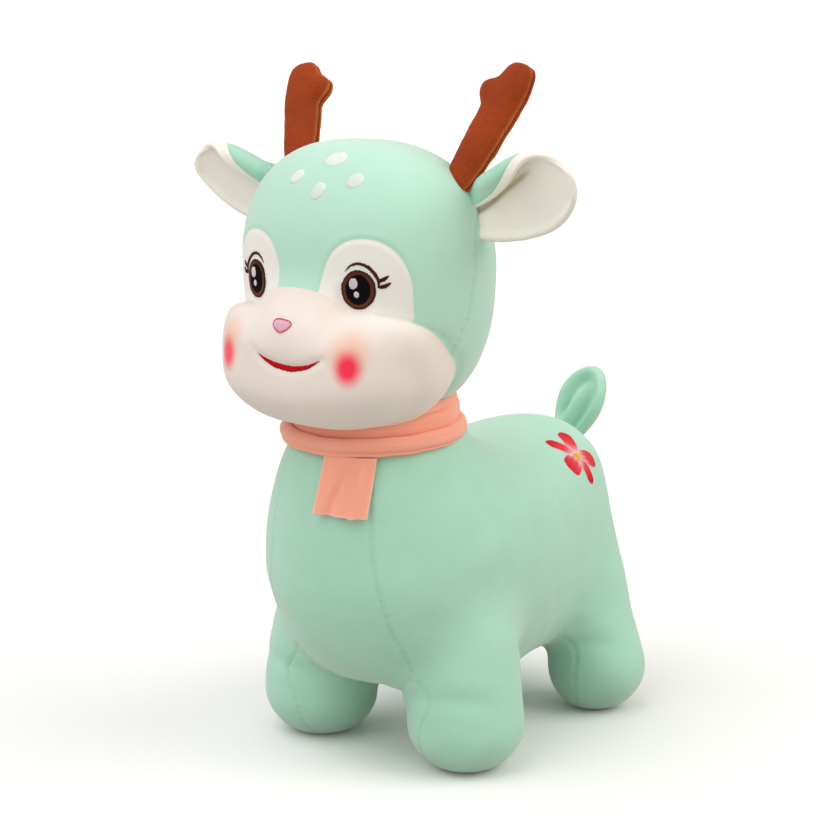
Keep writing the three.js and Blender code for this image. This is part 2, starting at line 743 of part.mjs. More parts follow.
const endTurn = radians(SCARF_END_TURN);
const endRadius = wrapRadius(LOWER_WRAP) - SCARF_END_INSET;
const endTopZ = throatTopZ - LOWER_WRAP.drop - LOWER_WRAP.height / 2
  - endRadius * Math.cos(endTurn) * Math.tan(radians(SCARF_TILT));
/** The middle surface of the hanging end: u across it, v down it. */
function scarfEndAt(u, v) {
  const drop = v * SCARF_END_LENGTH;
  const turn = endTurn + ((u - 1 / 2) * SCARF_END_WIDTH) / endRadius;
  const fold = SCARF_FOLD * v * Math.cos(2 * Math.PI * SCARF_FOLDS * u);
  const radius = endRadius + drop * Math.sin(radians(SCARF_END_LEAN)) + fold;
  return vector(
    radius * Math.sin(turn),
    neckY - radius * Math.cos(turn),
    endTopZ - drop * Math.cos(radians(SCARF_END_LEAN)),
  );
}
const scarfEnd = sheet(scarfEndAt, -SCARF_END_CLOTH / 2, SCARF_END_CLOTH / 2, SCARF_END_SEGMENTS);
const scarfEndHinge = {
  pivot: scarfEndAt(1 / 2, 0),
  axis: vector(-Math.cos(endTurn), -Math.sin(endTurn), 0),
};
const scarfEndRoom = swept(scarfEnd, scarfEndHinge, 0, SCARF_END_SWING);
add('scarf_upper_wrap', without(solid(upperWrap), bodyRoom, headRoom, muzzleRoom), SALMON);
add('scarf_lower_wrap', without(solid(lowerWrap), bodyRoom, muzzleRoom, upperRoom, scarfEndRoom), SALMON);
add('scarf_end', without(solid(scarfEnd), bodyRoom), SALMON);

// The fawn stands over the origin
const bounds = new THREE.Box3().setFromObject(fawn);
fawn.position.y = -(bounds.min.y + bounds.max.y) / 2;

export default fawn;
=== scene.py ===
"""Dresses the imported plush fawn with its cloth, stitching and scarf, on a plain pale floor.

Lengths are worked out in millimetres, with x to the fawn's left, y to its back and z up,
and turned into metres of the frame when a piece is finished.
"""

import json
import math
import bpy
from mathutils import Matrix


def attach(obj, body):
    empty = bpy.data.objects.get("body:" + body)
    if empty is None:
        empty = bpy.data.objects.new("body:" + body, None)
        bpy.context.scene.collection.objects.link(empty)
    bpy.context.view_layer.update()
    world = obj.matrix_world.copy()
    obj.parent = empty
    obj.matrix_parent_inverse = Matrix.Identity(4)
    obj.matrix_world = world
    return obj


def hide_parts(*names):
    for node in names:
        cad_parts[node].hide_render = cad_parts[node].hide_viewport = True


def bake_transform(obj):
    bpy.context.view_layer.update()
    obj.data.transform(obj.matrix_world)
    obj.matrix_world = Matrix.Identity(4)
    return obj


bl_info = {
    "name": "Plush fawn",
    "version": (1, 0, 0),
    "blender": (4, 5, 0),
    "location": "3D View > Sidebar > Fawn",
    "description": "Makes the cloth, embroidery and scarf of a plush fawn",
    "category": "Object",
}

import bmesh
import bpy
import numpy as np
from mathutils import Vector, noise
from mathutils.bvhtree import BVHTree
from mathutils.kdtree import KDTree

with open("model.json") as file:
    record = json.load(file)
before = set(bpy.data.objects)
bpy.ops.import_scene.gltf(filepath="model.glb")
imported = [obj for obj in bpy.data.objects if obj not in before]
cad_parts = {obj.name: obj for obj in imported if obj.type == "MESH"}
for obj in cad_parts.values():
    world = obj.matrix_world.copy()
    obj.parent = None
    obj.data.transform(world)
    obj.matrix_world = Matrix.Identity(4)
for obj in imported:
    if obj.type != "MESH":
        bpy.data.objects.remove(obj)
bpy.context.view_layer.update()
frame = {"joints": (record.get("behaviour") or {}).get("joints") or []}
MM = 0.001
SIDES = {"left": 1, "right": -1}

# Body and legs
BODY = {"front": -92, "length": 300, "bottom": 38, "height": 224, "width": 172}
BODY_ENDS = 4.5
BODY_SQUARENESS = 2.1
BODY_SHARES = (
    (0.35, 1.0, 0.09, 0.95, 0.51),
    (0.37, 0.95, 0.055, 0.9, 0.56),
    (0.39, 0.875, 0.04, 0.8, 0.605),
    (0.45, 0.77, 0.013, 0.68, 0.74),
    (0.54, 0.72, 0.0, 0.5, 0.9),
    (0.635, 0.71, 0.013, 0.3, 1.0),
    (0.74, 0.715, 0.1, 0.12, 1.0),
    (0.83, 0.72, 0.27, 0.03, 0.955),
    (0.9, 0.69, 0.5, 0.0, 0.89),
    (0.955, 0.62, 0.72, 0.01, 0.81),
    (0.985, 0.48, 0.86, 0.1, 0.71),
)
FRONT_LEG = {"height": 150, "spread": 61, "setback": 82, "lean": 10, "radius": 38.6}
HIND_LEG = {"height": 140, "spread": 61, "setback": 236, "lean": 10, "radius": 33}
LEG_ENDS = 3.4
LEG_SHARES = (
    (1.0, 0.62, 1.0, 1.05),
    (0.75, 0.76, 0.6, 1.06),
    (0.5, 0.9, 0.2, 1.0),
    (0.3, 0.98, 0.0, 0.98),
    (0.15, 1.0, 0.0, 1.02),
    (0.0, 1.0, 0.0, 0.9),
)

# Head and muzzle
HEAD = {"y": -33, "bottom": 231, "width": 166, "depth": 134, "height": 175}
HEAD_ENDS = 2.6
HEAD_SQUARENESS = 2.3
HEAD_SHARES = (
    (0.1, 0.87, 0.92),
    (0.045, 0.925, 0.925),
    (0.005, 0.98, 0.98),
    (0.0, 1.0, 1.0),
    (-0.02, 1.01, 0.93),
    (-0.025, 1.03, 0.79),
)
MUZZLE = {"y": -60, "bottom": 231.5, "width": 142, "depth": 122, "height": 75.5}
MUZZLE_ENDS = 5.25
MUZZLE_SQUARENESS = 2.9
MUZZLE_SHARES = (
    (-0.015, 0.66, 0.72),
    (-0.025, 0.955, 0.945),
    (0.025, 1.04, 1.035),
    (0.065, 1.06, 1.04),
)
BRIDGE = {"y": -64, "bottom": 270, "width": 90, "depth": 108, "height": 54}
BRIDGE_SHARES = ((0.0, 1.0, 1.0), (0.0, 1.0, 1.0), (0.0, 0.95, 0.95), (0.0, 0.8, 0.85))
PATCH = {"x": 42.2, "z": 318, "width": 52, "rise": 34, "drop": 60, "squareness": 2.25}
EYE = {"x": 40.3, "z": 321.5, "width": 20.6, "height": 24.0}

# Antlers, ears and tail
ANTLER = {"base": (64.2, -23.0, 383.6), "run": (22.5, 33.5, 65), "root": 8, "width": 26.5, "thickness": 19}
ANTLER_ENDS = 4
ANTLER_SHARES = ((0.88, 0.85), (0.92, 0.95), (1.0, 1.0), (1.04, 1.0), (1.0, 0.95))
ANTLER_REACH = {"left": 1.05, "right": 0.975}
PRONG = {"start": 0.55, "turn": 42, "length": 26, "width": 17.5}
EAR = {"root": (69.5, -16.5, 365.5), "root_up": (-0.51, 0.56, 0.65), "up": (-0.15, -0.23, 0.96), "length": 85}
EAR_TIP = {"left": (145, -25, 379), "right": (-145, -25, 371)}
EAR_TIP_RISE = 8
EAR_TAPER = {"left": 0.0, "right": 0.5}
EAR_ROOT_DROP = {"left": 0.0, "right": 4.5}
# Rows along the ear: reach above and below, the rolled edge's radius, turn and overhang, and its cream
EAR_ROWS = (
    (1.0, 24.0, 3.8, 198, 12.0, 0.6),
    (7.5, 29.0, 4.1, 200, 10.5, 1.8),
    (14.0, 32.0, 4.3, 202, 8.5, 4.6),
    (19.5, 30.5, 4.5, 172, 6.0, 8.0),
    (22.5, 28.5, 4.4, 84, 2.0, 11.0),
    (23.0, 27.0, 4.0, 2, 0.0, 10.0),
)
TAIL = {"base": (0, 191.5, 174), "run": (0, 35, 51.5), "root": 8, "width": 37.5, "shift": 4.8}
TAIL_WIDTH_SHARES = (0.32, 0.5, 0.76, 0.94, 1.0)

# Scarf
NECK = {"y": -29, "top": 262, "radius": 48.2}
SCARF_TILT = 3
LOWER_WRAP = {"drop": 39.8, "reach": 11.8, "height": 13, "nape": 1.0}
UPPER_WRAP = {"drop": 25, "reach": 5.8, "nape": 3.6}
SCARF_END = {"width": 34, "length": 36.5, "turn": 24, "inset": 2.5, "lean": 11}

# Thickness of the thin cloths, where the plush's own is a property
EAR_CLOTH = 0.9
WRAP_CLOTH = 1.8
END_CLOTH = 2.0

# How far from its line a place where two stuffed forms meet is softened, and how much
BODY_JUNCTION = {"reach": 11, "rounds": 70}
FACE_JUNCTION = {"reach": 12, "rounds": 110}
ANTLER_JUNCTION = {"reach": 5, "rounds": 16}

# Lumps of the filling under a skin: height, size and seed
BODY_LUMPS = ((0.55, 38, 3), (0.22, 15, 9))
HEAD_LUMPS = ((0.4, 34, 5), (0.15, 13, 2))
ANTLER_LUMPS = ((0.45, 11, 4), (0.2, 4, 6))

tail_joint = next(joint for joint in frame["joints"] if joint["name"] == "tail_flex")
SHIFT = np.array([0.0, tail_joint["pos_m"][1] / MM - TAIL["base"][1], 0.0])


def to_frame(points):
    """Points in metres of the frame, from millimetres of the fawn."""
    return (np.asarray(points, float) + SHIFT) * MM


def srgb(red, green, blue):
    """A linear colour from a screen colour."""
    channels = np.array([red, green, blue]) / 255
    return tuple(np.where(channels < 0.04045, channels / 12.92, ((channels + 0.055) / 1.055) ** 2.4))


def unit(vector):
    vector = np.asarray(vector, float)
    return vector / np.linalg.norm(vector)


def mirrored(point, side):
    return np.array([point[0] * side, point[1], point[2]], float)


def bell(value, width):
    """One at zero, falling away on both sides over a width."""
    return np.exp(-((value / width) ** 2))


def ramp(value, start, run):
    """Rises from 0 to 1 over a run from a start, or falls over a negative run."""
    return np.clip((value - start) / run, 0, 1)


def round_edge(distance, width):
    """The share of full height at a distance from an edge that is rounded over a width."""
    return np.sqrt(1 - (1 - ramp(distance, 0, width)) ** 2)


def row_curve(rows, share):
    """Rows of numbers along a smooth curve through the given ones, at shares of its run."""
    rows = np.asarray(rows, float)
    rows = rows.reshape(len(rows), -1)
    longer = np.vstack([2 * rows[0] - rows[1], rows, 2 * rows[-1] - rows[-2]])
    place = np.clip(np.asarray(share, float), 0, 1) * (len(rows) - 1)
    start = np.minimum(place.astype(int), len(rows) - 2)
    t = (place - start)[:, None]
    a, b, c, d = (longer[start + k] for k in range(4))
    return 0.5 * (2 * b + (c - a) * t + (2 * a - 5 * b + 4 * c - d) * t**2 + (3 * b - a - 3 * c + d) * t**3)


def smooth_line(points, step=1.0):
    """A polyline through points, with a point about every step."""
    points = np.asarray(points, float)
    length = np.linalg.norm(np.diff(points, axis=0), axis=1).sum()
    return row_curve(points, np.linspace(0, 1, max(4, int(length / step))))


def stuffed(centres, sides, rises, ends, squareness=2.0, around=96, along=72):
    """Points and faces of a stuffed form lofted through rows, with rounded ends."""
    polar = np.linspace(0, math.pi, along + 1)
    height = np.cos(polar)
    cap = np.maximum(0, 1 - np.abs(height) ** ends) ** (1 / ends)
    share = (1 - height) / 2
    turn = np.linspace(0, 2 * math.pi, around, endpoint=False)
    across = -np.sign(np.cos(turn)) * np.abs(np.cos(turn)) ** (2 / squareness)
    deep = np.sign(np.sin(turn)) * np.abs(np.sin(turn)) ** (2 / squareness)
    middle, side, rise = (row_curve(rows, share) for rows in (centres, sides, rises))
    grid = (
        middle[:, None, :]
        + cap[:, None, None] * across[None, :, None] * side[:, None, :]
        + cap[:, None, None] * deep[None, :, None] * rise[:, None, :]
    )
    points = np.vstack([grid[0, :1], grid[1:-1].reshape(-1, 3), grid[-1, :1]])
    faces = []
    last = len(points) - 1
    for j in range(around):
        k = (j + 1) % around
        faces.append((0, 1 + j, 1 + k))
        for i in range(along - 2):
            row, below = 1 + i * around, 1 + (i + 1) * around
            faces.append((row + j, below + j, below + k, row + k))
        faces.append((last, last - around + k, last - around + j))
    return points, faces


def body_form():
    origin = np.array([0, BODY["front"], BODY["bottom"]])
    size = np.array([1, BODY["length"], BODY["height"]])
    back = np.array([(0, row[0], row[1]) for row in BODY_SHARES]) * size + origin
    front = np.array([(0, row[2], row[3]) for row in BODY_SHARES]) * size + origin
    sides = np.array([(row[4] * BODY["width"] / 2, 0, 0) for row in BODY_SHARES])
    return stuffed((back + front) / 2, sides, (back - front) / 2, BODY_ENDS, BODY_SQUARENESS, 128, 96)


def leg_form(leg, side):
    centres, sides, rises = [], [], []
    for height, spread, lean, radius in LEG_SHARES:
        setback = BODY["front"] + leg["setback"] + lean * leg["lean"]
        centres.append((side * spread * leg["spread"], setback, height * leg["height"]))
        sides.append((radius * leg["radius"], 0, 0))
        rises.append((0, radius * leg["radius"], 0))
    return stuffed(centres, sides, rises, LEG_ENDS)


def upright_form(shares, box, ends, squareness):
    steps = len(shares) - 1
    centres = [
        (0, box["y"] + row[0] * box["depth"], box["bottom"] + i / steps * box["height"])
        for i, row in enumerate(shares)
    ]
    sides = [(row[1] * box["width"] / 2, 0, 0) for row in shares]
    rises = [(0, row[2] * box["depth"] / 2, 0) for row in shares]
    return stuffed(centres, sides, rises, ends, squareness, 128, 96)


def tube_form(start, end, wide, shares, width, thickness, ends):
    axis = unit(end - start)
    side = unit(wide - wide @ axis * axis)
    rise = np.cross(axis, side)
    steps = np.linspace(0, 1, len(shares))
    centres = [start + (end - start) * step for step in steps]
    sides = [side * row[0] * width / 2 for row in shares]
    rises = [rise * row[1] * thickness / 2 for row in shares]
    return stuffed(centres, sides, rises, ends, 2.0, 48, 64)


def new_mesh(name, points, faces):
    mesh = bpy.data.meshes.new(name)
    mesh.from_pydata([tuple(p) for p in points], [], [tuple(map(int, f)) for f in faces])
    mesh.update()
    return mesh


def arrays_of(mesh):
    """Points and faces of a mesh."""
    points = np.empty(len(mesh.vertices) * 3)
    mesh.vertices.foreach_get("co", points)
    corners = np.empty(len(mesh.loops), int)
    mesh.loops.foreach_get("vertex_index", corners)
    starts = np.empty(len(mesh.polygons), int)
    mesh.polygons.foreach_get("loop_start", starts)
    return points.reshape(-1, 3), np.split(corners, starts[1:])


def taken(mesh):
    """The arrays of a mesh that isn't kept."""
    arrays = arrays_of(mesh)
    bpy.data.meshes.remove(mesh)
    return arrays


def outwards(mesh):
    """The same mesh with its faces turned outwards."""
    bm = bmesh.new()
    bm.from_mesh(mesh)
    bmesh.ops.recalc_face_normals(bm, faces=bm.faces)
    bm.to_mesh(mesh)
    bm.free()
    return mesh


def grid_faces(columns, lines, closed=False):
    """Quads over a grid of points, and from its last column to its first if it is closed."""
    faces = []
    for i in range(columns if closed else columns - 1):
        k = (i + 1) % columns
        for j in range(lines - 1):
            faces.append((i * lines + j, k * lines + j, k * lines + j + 1, i * lines + j + 1))
    return faces


def evaluated(mesh, *modifiers):
    """The arrays of a mesh after modifiers, each a type and its settings."""
    thing = bpy.data.objects.new("scratch", mesh)
    bpy.context.scene.collection.objects.link(thing)
    for kind, settings in modifiers:
        modifier = thing.modifiers.new(kind, kind)
        for key, value in settings.items():
            setattr(modifier, key, value)
    graph = bpy.context.evaluated_depsgraph_get()
    result = bpy.data.meshes.new_from_object(thing.evaluated_get(graph))
    bpy.data.objects.remove(thing)
    bpy.data.meshes.remove(mesh)
    return taken(result)


def fused(forms, voxel):
    """One skin around several forms that overlap."""
    points, faces = [], []
    for form_points, form_faces in forms:
        offset = sum(len(part) for part in points)
        points.append(form_points)
        faces += [[corner + offset for corner in face] for face in form_faces]
    mesh = outwards(new_mesh("fused", np.vstack(points), faces))
    return evaluated(mesh, ("REMESH", {"mode": "VOXEL", "voxel_size": voxel}))


def finer(points, faces):
    """The same skin with one level of subdivision."""
    mesh = new_mesh("finer", points, faces)
    return evaluated(mesh, ("SUBSURF", {"levels": 1, "render_levels": 1}))


def edges_of(faces):
    pairs = {tuple(sorted((int(a), int(b)))) for f in faces for a, b in zip(f, np.roll(f, -1))}
    return np.array(sorted(pairs))


def relaxed(points, edges, weights, rounds, pull=0.5):
    """Points drawn towards the middle of their neighbours."""
    points = points.copy()
    a, b = edges.T
    total = len(points)
    count = np.maximum(1, np.bincount(a, minlength=total) + np.bincount(b, minlength=total))
    for _ in range(rounds):
        middle = np.stack(
            [
                (np.bincount(a, points[b, k], total) + np.bincount(b, points[a, k], total)) / count
                for k in range(3)
            ],
            1,
        )
        points += pull * weights[:, None] * (middle - points)
    return points


def evened(points, edges, rounds=8):
    """Points without the steps that a remesh leaves, at their old size."""
    whole = np.ones(len(points))
    for _ in range(rounds):
        points = relaxed(points, edges, whole, 1, 0.5)
        points = relaxed(points, edges, whole, 1, -0.52)
    return points


def normals_of(points, faces):
    mesh = new_mesh("normals", points, faces)
    vectors = np.empty(len(points) * 3, np.float32)
    mesh.vertex_normals.foreach_get("vector", vectors)
    bpy.data.meshes.remove(mesh)
    return vectors.reshape(-1, 3).astype(float)


def distances(points, form):
    """How far each point lies from a form's surface."""
    tree = Skin(*form).tree
    return np.array([tree.find_nearest(Vector(p))[3] for p in points])


def tree_of(points):
    tree = KDTree(len(points))
    for i, point in enumerate(points):
        tree.insert(point, i)
    tree.balance()
    return tree


def along_line(points, line):
    """Distance to a polyline, and the place along it, for each point."""
    tree = tree_of(line)
    found = [tree.find(p) for p in points]
    return np.array([f[2] for f in found]), np.array([f[1] for f in found])


def rough(points, size, seed):
    """Soft lumps from -1 to 1 at points, of a size in millimetres."""
    return np.array([noise.noise(Vector(p) / size + Vector((seed, 0, 0))) for p in points])


def lumpy(points, lumps, side=0):
    """Uneven filling under a skin, which differs from side to side."""
    return sum(height * rough(points, size, seed + side) for height, size, seed in lumps)


def nearest_of(points):
    """Gives, for other places, which of the points is nearest."""
    tree = tree_of(points)
    return lambda places: [tree.find(place)[1] for place in places]


class Skin:
    """A finished skin that lines and stitches are laid on."""

    def __init__(self, points, faces):
        self.tree = BVHTree.FromPolygons([tuple(p) for p in points], [tuple(map(int, f)) for f in faces])

    def nearest(self, points):
        return np.array([self.tree.find_nearest(Vector(p))[0] for p in points])

    def under(self, points, direction):
        """Where lines through points along a direction meet the skin, and its normals there."""
        places, normals = [], []
        far = Vector(direction) * 200
        for p in points:
            place, normal, _, _ = self.tree.ray_cast(Vector(p) - far, Vector(direction))
            if place is None:
                place, normal, _, _ = self.tree.find_nearest(Vector(p))
            places.append(place)
            normals.append(normal)
        return np.array(places), np.array(normals)


def divided(points, faces, values):
    """Cuts a skin where values change sign. Gives the part below zero and the part above it."""
    mesh = new_mesh("divided", points, faces)
    bm = bmesh.new()
    bm.from_mesh(mesh)
    bpy.data.meshes.remove(mesh)
    layer = bm.verts.layers.float.new("value")
    for vert, value in zip(bm.verts, values):
        vert[layer] = value
    near_end = 0.22
    for edge in list(bm.edges):
        a, b = edge.verts
        if a[layer] * b[layer] < 0:
            share = a[layer] / (a[layer] - b[layer])
            if share < near_end or share > 1 - near_end:
                moved, other = (a, b) if share < near_end else (b, a)
                part = share if share < near_end else 1 - share
                moved.co = moved.co.lerp(other.co, part)
                moved[layer] = 0
    for edge in list(bm.edges):
        a, b = edge.verts
        if a[layer] * b[layer] < 0:
            share = a[layer] / (a[layer] - b[layer])
            _, vert = bmesh.utils.edge_split(edge, a, share)
            vert[layer] = 0
    on_line = [vert for vert in bm.verts if vert[layer] == 0]
    bmesh.ops.connect_verts(bm, verts=on_line)
    bm.verts.index_update()
    co = np.array([vert.co for vert in bm.verts])
    low, high = [], []
    for face in bm.faces:
        total = sum(vert[layer] for vert in face.verts)
        (low if total < 0 else high).append([vert.index for vert in face.verts])
    bm.free()
    return trimmed(co, low), trimmed(co, high)


def trimmed(points, faces):
    """Only the points that the faces use."""
    used = np.unique(np.concatenate([np.asarray(f) for f in faces]))
    place = np.full(len(points), -1)
    place[used] = np.arange(len(used))
    return points[used], [place[np.asarray(f)] for f in faces]


def shell(points, faces, thickness):
    """A closed cloth wall that grows inwards from an open skin."""
    mesh = new_mesh("shell", points, faces)
    settings = {"thickness": thickness, "offset": -1, "use_even_offset": False, "use_quality_normals": True}
    return evaluated(mesh, ("SOLIDIFY", settings))


def finished(name, points, faces, finish, nodes=(), marks=None, uvs=None, normals=None):
    """A smooth shaded object at the origin, in the frame, with its marks as attributes."""
    mesh = new_mesh(name, to_frame(points), faces)
    mesh.polygons.foreach_set("use_smooth", [True] * len(mesh.polygons))
    for key, values in (marks or {}).items():
        attribute = mesh.attributes.new(key, "FLOAT", "POINT")
        attribute.data.foreach_set("value", np.asarray(values, np.float32))
    if uvs is not None:
        layer = mesh.uv_layers.new(name="UVMap")
        corners = np.empty(len(mesh.loops), int)
        mesh.loops.foreach_get("vertex_index", corners)
        layer.data.foreach_set("uv", np.asarray(uvs, np.float32)[corners].ravel())
    if normals is not None:
        mesh.normals_split_custom_set_from_vertices([tuple(n) for n in normals])
    mesh.materials.append(finish_material(finish))
    piece = bpy.data.objects.new(name, mesh)
    bpy.context.scene.collection.objects.link(piece)
    if nodes:
        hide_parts(*nodes)
    return piece


# Shader node groups and materials

FLOAT, COLOUR, VECTOR = "NodeSocketFloat", "NodeSocketColor", "NodeSocketVector"
FINISH_INPUTS = ((VECTOR, "Vector", None), (COLOUR, "Colour", None), (COLOUR, "Shade", None))
FINISH_OUTPUTS = ((COLOUR, "Colour"), (FLOAT, "Roughness"), (FLOAT, "Height"))
FIBRE_SCALE = 2600.0
FLECK = 0.16
THREAD_GLOSS = 0.35
CLOTH_GLOSS = 0.2
SHEEN_ROUGHNESS = 0.55
BUMP_STRENGTH = 0.4
PILE_HEIGHT = 0.0005
THREAD_HEIGHT = 0.0002

# The cheeks' blush: centre, reach, colour and amount
BLUSH = (
    ((47.0, -113.0, 286.0), (17.5, 26.0, 19.0), "blush_haze", 0.6),
    ((47.5, -112.8, 276.8), (11.4, 25.0, 15.0), "blush", 1.0),
)
# A cloth's shade colour tints its brushed patches and flecks, and gives the painted shade in its seams
CLOTHS = {
    "Mint plush": {"slot": "mint_plush", "colour": "mint", "shade": "mint_shade", "sheen": 0.6},
    # Painted light: the head's mint is a lighter copy of the body's, for the brighter light on the head
    "Head mint plush": {"slot": "mint_plush", "colour": "head_mint", "shade": "mint", "sheen": 0.6},
    # Painted shade: the tail's mint is a darker copy of the body's
    "Shaded tail mint plush": {"slot": "mint_plush", "colour": "shaded_tail_mint", "shade": "mint_shade", "sheen": 0.5},
    "Patch cream plush": {"slot": "cream_plush", "colour": "patch_cream", "shade": "cream", "sheen": 0.45},
    # Painted light: the ear linings' cream is a lighter copy, for light the lamps hardly give them
    "Ear cream plush": {
        # The ear lining's rim colour is a painted shadow in the crease under the rolled edge
        "slot": "cream_plush", "colour": "ear_cream", "shade": "cream", "sheen": 0.45, "rim": "ear_fold_shadow",
    },
    "Blushed cream plush": {
        "slot": "cream_plush", "colour": "cream", "shade": "cream_shade", "sheen": 0.45, "blush": BLUSH,
    },
    # The antlers' rim colour is a painted highlight on the lips beside their seam
    "Brown plush": {
        "slot": "brown_plush", "colour": "brown", "shade": "brown_shade", "sheen": 0.0, "rim": "brown_rim_highlight",
        "fibre": 1500.0, "fleck": 0.5,
    },
    "Scarf cloth": {
        "slot": "scarf_cloth", "colour": "scarf", "shade": "scarf_shade", "sheen": 0.4, "rim": "scarf_edge",
        "fibre": 1900.0, "fleck": 0.3,
    },
}

# Threads: screen colours, or a tint of them along the mark of that name, with a shade colour for the painted
# shade between threads and their uneven tone
THREADS = {
    "Black thread": {"slot": "black_thread", "colour": (9, 7, 8), "shade": (2, 2, 2), "gloss": 0.08},
    "Maroon thread": {"slot": "black_thread", "colour": (84, 30, 28), "shade": (38, 10, 12), "gloss": 0.15},
    "White thread": {"slot": "white_thread", "colour": (240, 234, 242), "shade": (205, 198, 210)},
    "Spot thread": {"slot": "white_thread", "colour": (252, 254, 252), "shade": (214, 232, 224)},
    "Iris thread": {
        "slot": "iris_thread", "shade": (40, 16, 14), "gloss": 0.15,
        "tint": ((0.0, (120, 60, 38)), (0.5, (104, 54, 42)), (0.72, (64, 24, 22)), (1.0, (38, 12, 14))),
    },
    "Pink thread": {"slot": "pink_thread", "colour": (248, 206, 224), "shade": (232, 164, 192)},
    "Rose thread": {"slot": "pink_thread", "colour": (226, 116, 156), "shade": (184, 76, 116)},
    "Red thread": {
        "slot": "red_thread", "shade": (120, 6, 14), "gloss": 0.12,
        "tint": ((0.0, (170, 4, 14)), (0.5, (222, 16, 28)), (1.0, (206, 14, 24))),
    },
    "Petal thread": {
        "slot": "petal_thread", "shade": (150, 10, 24),
        "tint": ((0.0, (255, 226, 232)), (0.14, (250, 168, 182)), (0.32, (246, 76, 84)), (0.7, (236, 32, 44)),
                 (1.0, (204, 12, 20))),
    },
    "Yellow thread": {"slot": "yellow_thread", "colour": (255, 216, 58), "shade": (244, 176, 40)},
    "Mint thread": {"slot": "mint_plush", "colour": (226, 248, 238), "shade": (176, 220, 200)},
}


def new_group(name, inputs, outputs, kind="ShaderNodeTree"):
    """A node group with named inputs and outputs, with what it is given and its result."""
    group = bpy.data.node_groups.new(name, kind)
    for socket_type, label, value in inputs:
        socket = group.interface.new_socket(label, in_out="INPUT", socket_type=socket_type)
        if value is not None:
            socket.default_value = value
    for socket_type, label in outputs:
        group.interface.new_socket(label, in_out="OUTPUT", socket_type=socket_type)
    return group, group.nodes.new("NodeGroupInput").outputs, group.nodes.new("NodeGroupOutput")


def feed(tree, socket, value):
    """Links an input to another node's output, or sets it."""
    if isinstance(value, bpy.types.NodeSocket):
        tree.links.new(value, socket)
    else:
        socket.default_value = value


def wire(tree, node, **inputs):
    """Sets or links a node's inputs by name, with spaces for underscores."""
    for key, value in inputs.items():
        feed(tree, node.inputs[key.replace("_", " ")], value)
    return node


def added(tree, kind, **inputs):
    return wire(tree, tree.nodes.new(kind), **inputs)


def noise_node(tree, vector, scale, detail=2.0, roughness=0.5):
    node = added(tree, "ShaderNodeTexNoise", Vector=vector, Scale=scale, Detail=detail, Roughness=roughness)
    return node.outputs["Fac"]


def maths(tree, operation, *values, clamp=False, kind="ShaderNodeMath"):
    node = tree.nodes.new(kind)
    node.operation = operation
    if clamp:
        node.use_clamp = True
    for socket, value in zip(node.inputs, values):
        feed(tree, socket, value)
    return node.outputs["Value" if operation == "LENGTH" else 0]


def vector_maths(tree, operation, *values):
    return maths(tree, operation, *values, kind="ShaderNodeVectorMath")


def times(tree, first, second):
    return maths(tree, "MULTIPLY", first, second)


def plus(tree, first, second, clamp=False):
    return maths(tree, "ADD", first, second, clamp=clamp)


def mixed(tree, factor, first, second):
    node = tree.nodes.new("ShaderNodeMix")
    node.data_type = "RGBA"
    for place, value in ((0, factor), (6, first), (7, second)):
        feed(tree, node.inputs[place], value)
    return node.outputs[2]


def remapped(tree, value, low, high, to_low=0.0, to_high=1.0):
    node = added(tree, "ShaderNodeMapRange", Value=value)
    node.interpolation_type = "SMOOTHSTEP"
    for i, limit in enumerate((low, high, to_low, to_high)):
        node.inputs[i + 1].default_value = limit
    return node.outputs["Result"]


def attribute(tree, name):
    node = tree.nodes.new("ShaderNodeAttribute")
    node.attribute_name = name
    return node.outputs["Fac"]


def pile_group():
    """Short velvety pile: fibres, brushed patches, and seams darkened with painted shade."""
    inputs = (
        *FINISH_INPUTS,
        (FLOAT, "Fibre scale", FIBRE_SCALE),
        (FLOAT, "Brushed scale", 42.0),
        (FLOAT, "Brushed amount", 0.32),
        (FLOAT, "Fleck", FLECK),
        (FLOAT, "Seam", 0.0),
    )
    tree, given, result = new_group("Short pile", inputs, FINISH_OUTPUTS)
    place = given["Vector"]
    fibre_scale = given["Fibre scale"]
    brushed_scale = given["Brushed scale"]
    fibres = noise_node(tree, place, fibre_scale, 3.0, 0.6)
    stretched = added(tree, "ShaderNodeMapping", Vector=place, Scale=(1.0, 1.0, 0.35)).outputs[0]
    nap = noise_node(tree, stretched, times(tree, fibre_scale, 0.4))
    brushed = noise_node(tree, place, brushed_scale, 3.0, 0.55)
    broad = noise_node(tree, place, times(tree, brushed_scale, 0.3), 1.0)
    mottle = plus(tree, times(tree, brushed, 0.6), times(tree, broad, 0.4))
    amount = times(tree, remapped(tree, mottle, 0.35, 0.68), given["Brushed amount"])
    speck = times(tree, remapped(tree, fibres, 0.3, 0.75, 1.0, 0.0), given["Fleck"])
    # The seam mark paints shade into the seams, on top of the brushed patches and flecks
    mottle_and_seam_shade = plus(tree, plus(tree, amount, speck, True), times(tree, given["Seam"], 0.7), True)
    colour = mixed(tree, mottle_and_seam_shade, given["Colour"], given["Shade"])
    clumps = noise_node(tree, place, times(tree, fibre_scale, 0.13))
    fine = plus(tree, times(tree, fibres, 0.5), times(tree, nap, 0.35))
    height = plus(tree, fine, times(tree, clumps, 0.5))
    wire(tree, result, Colour=colour, Roughness=remapped(tree, fibres, 0.2, 0.8, 0.78, 0.95), Height=height)
    return tree


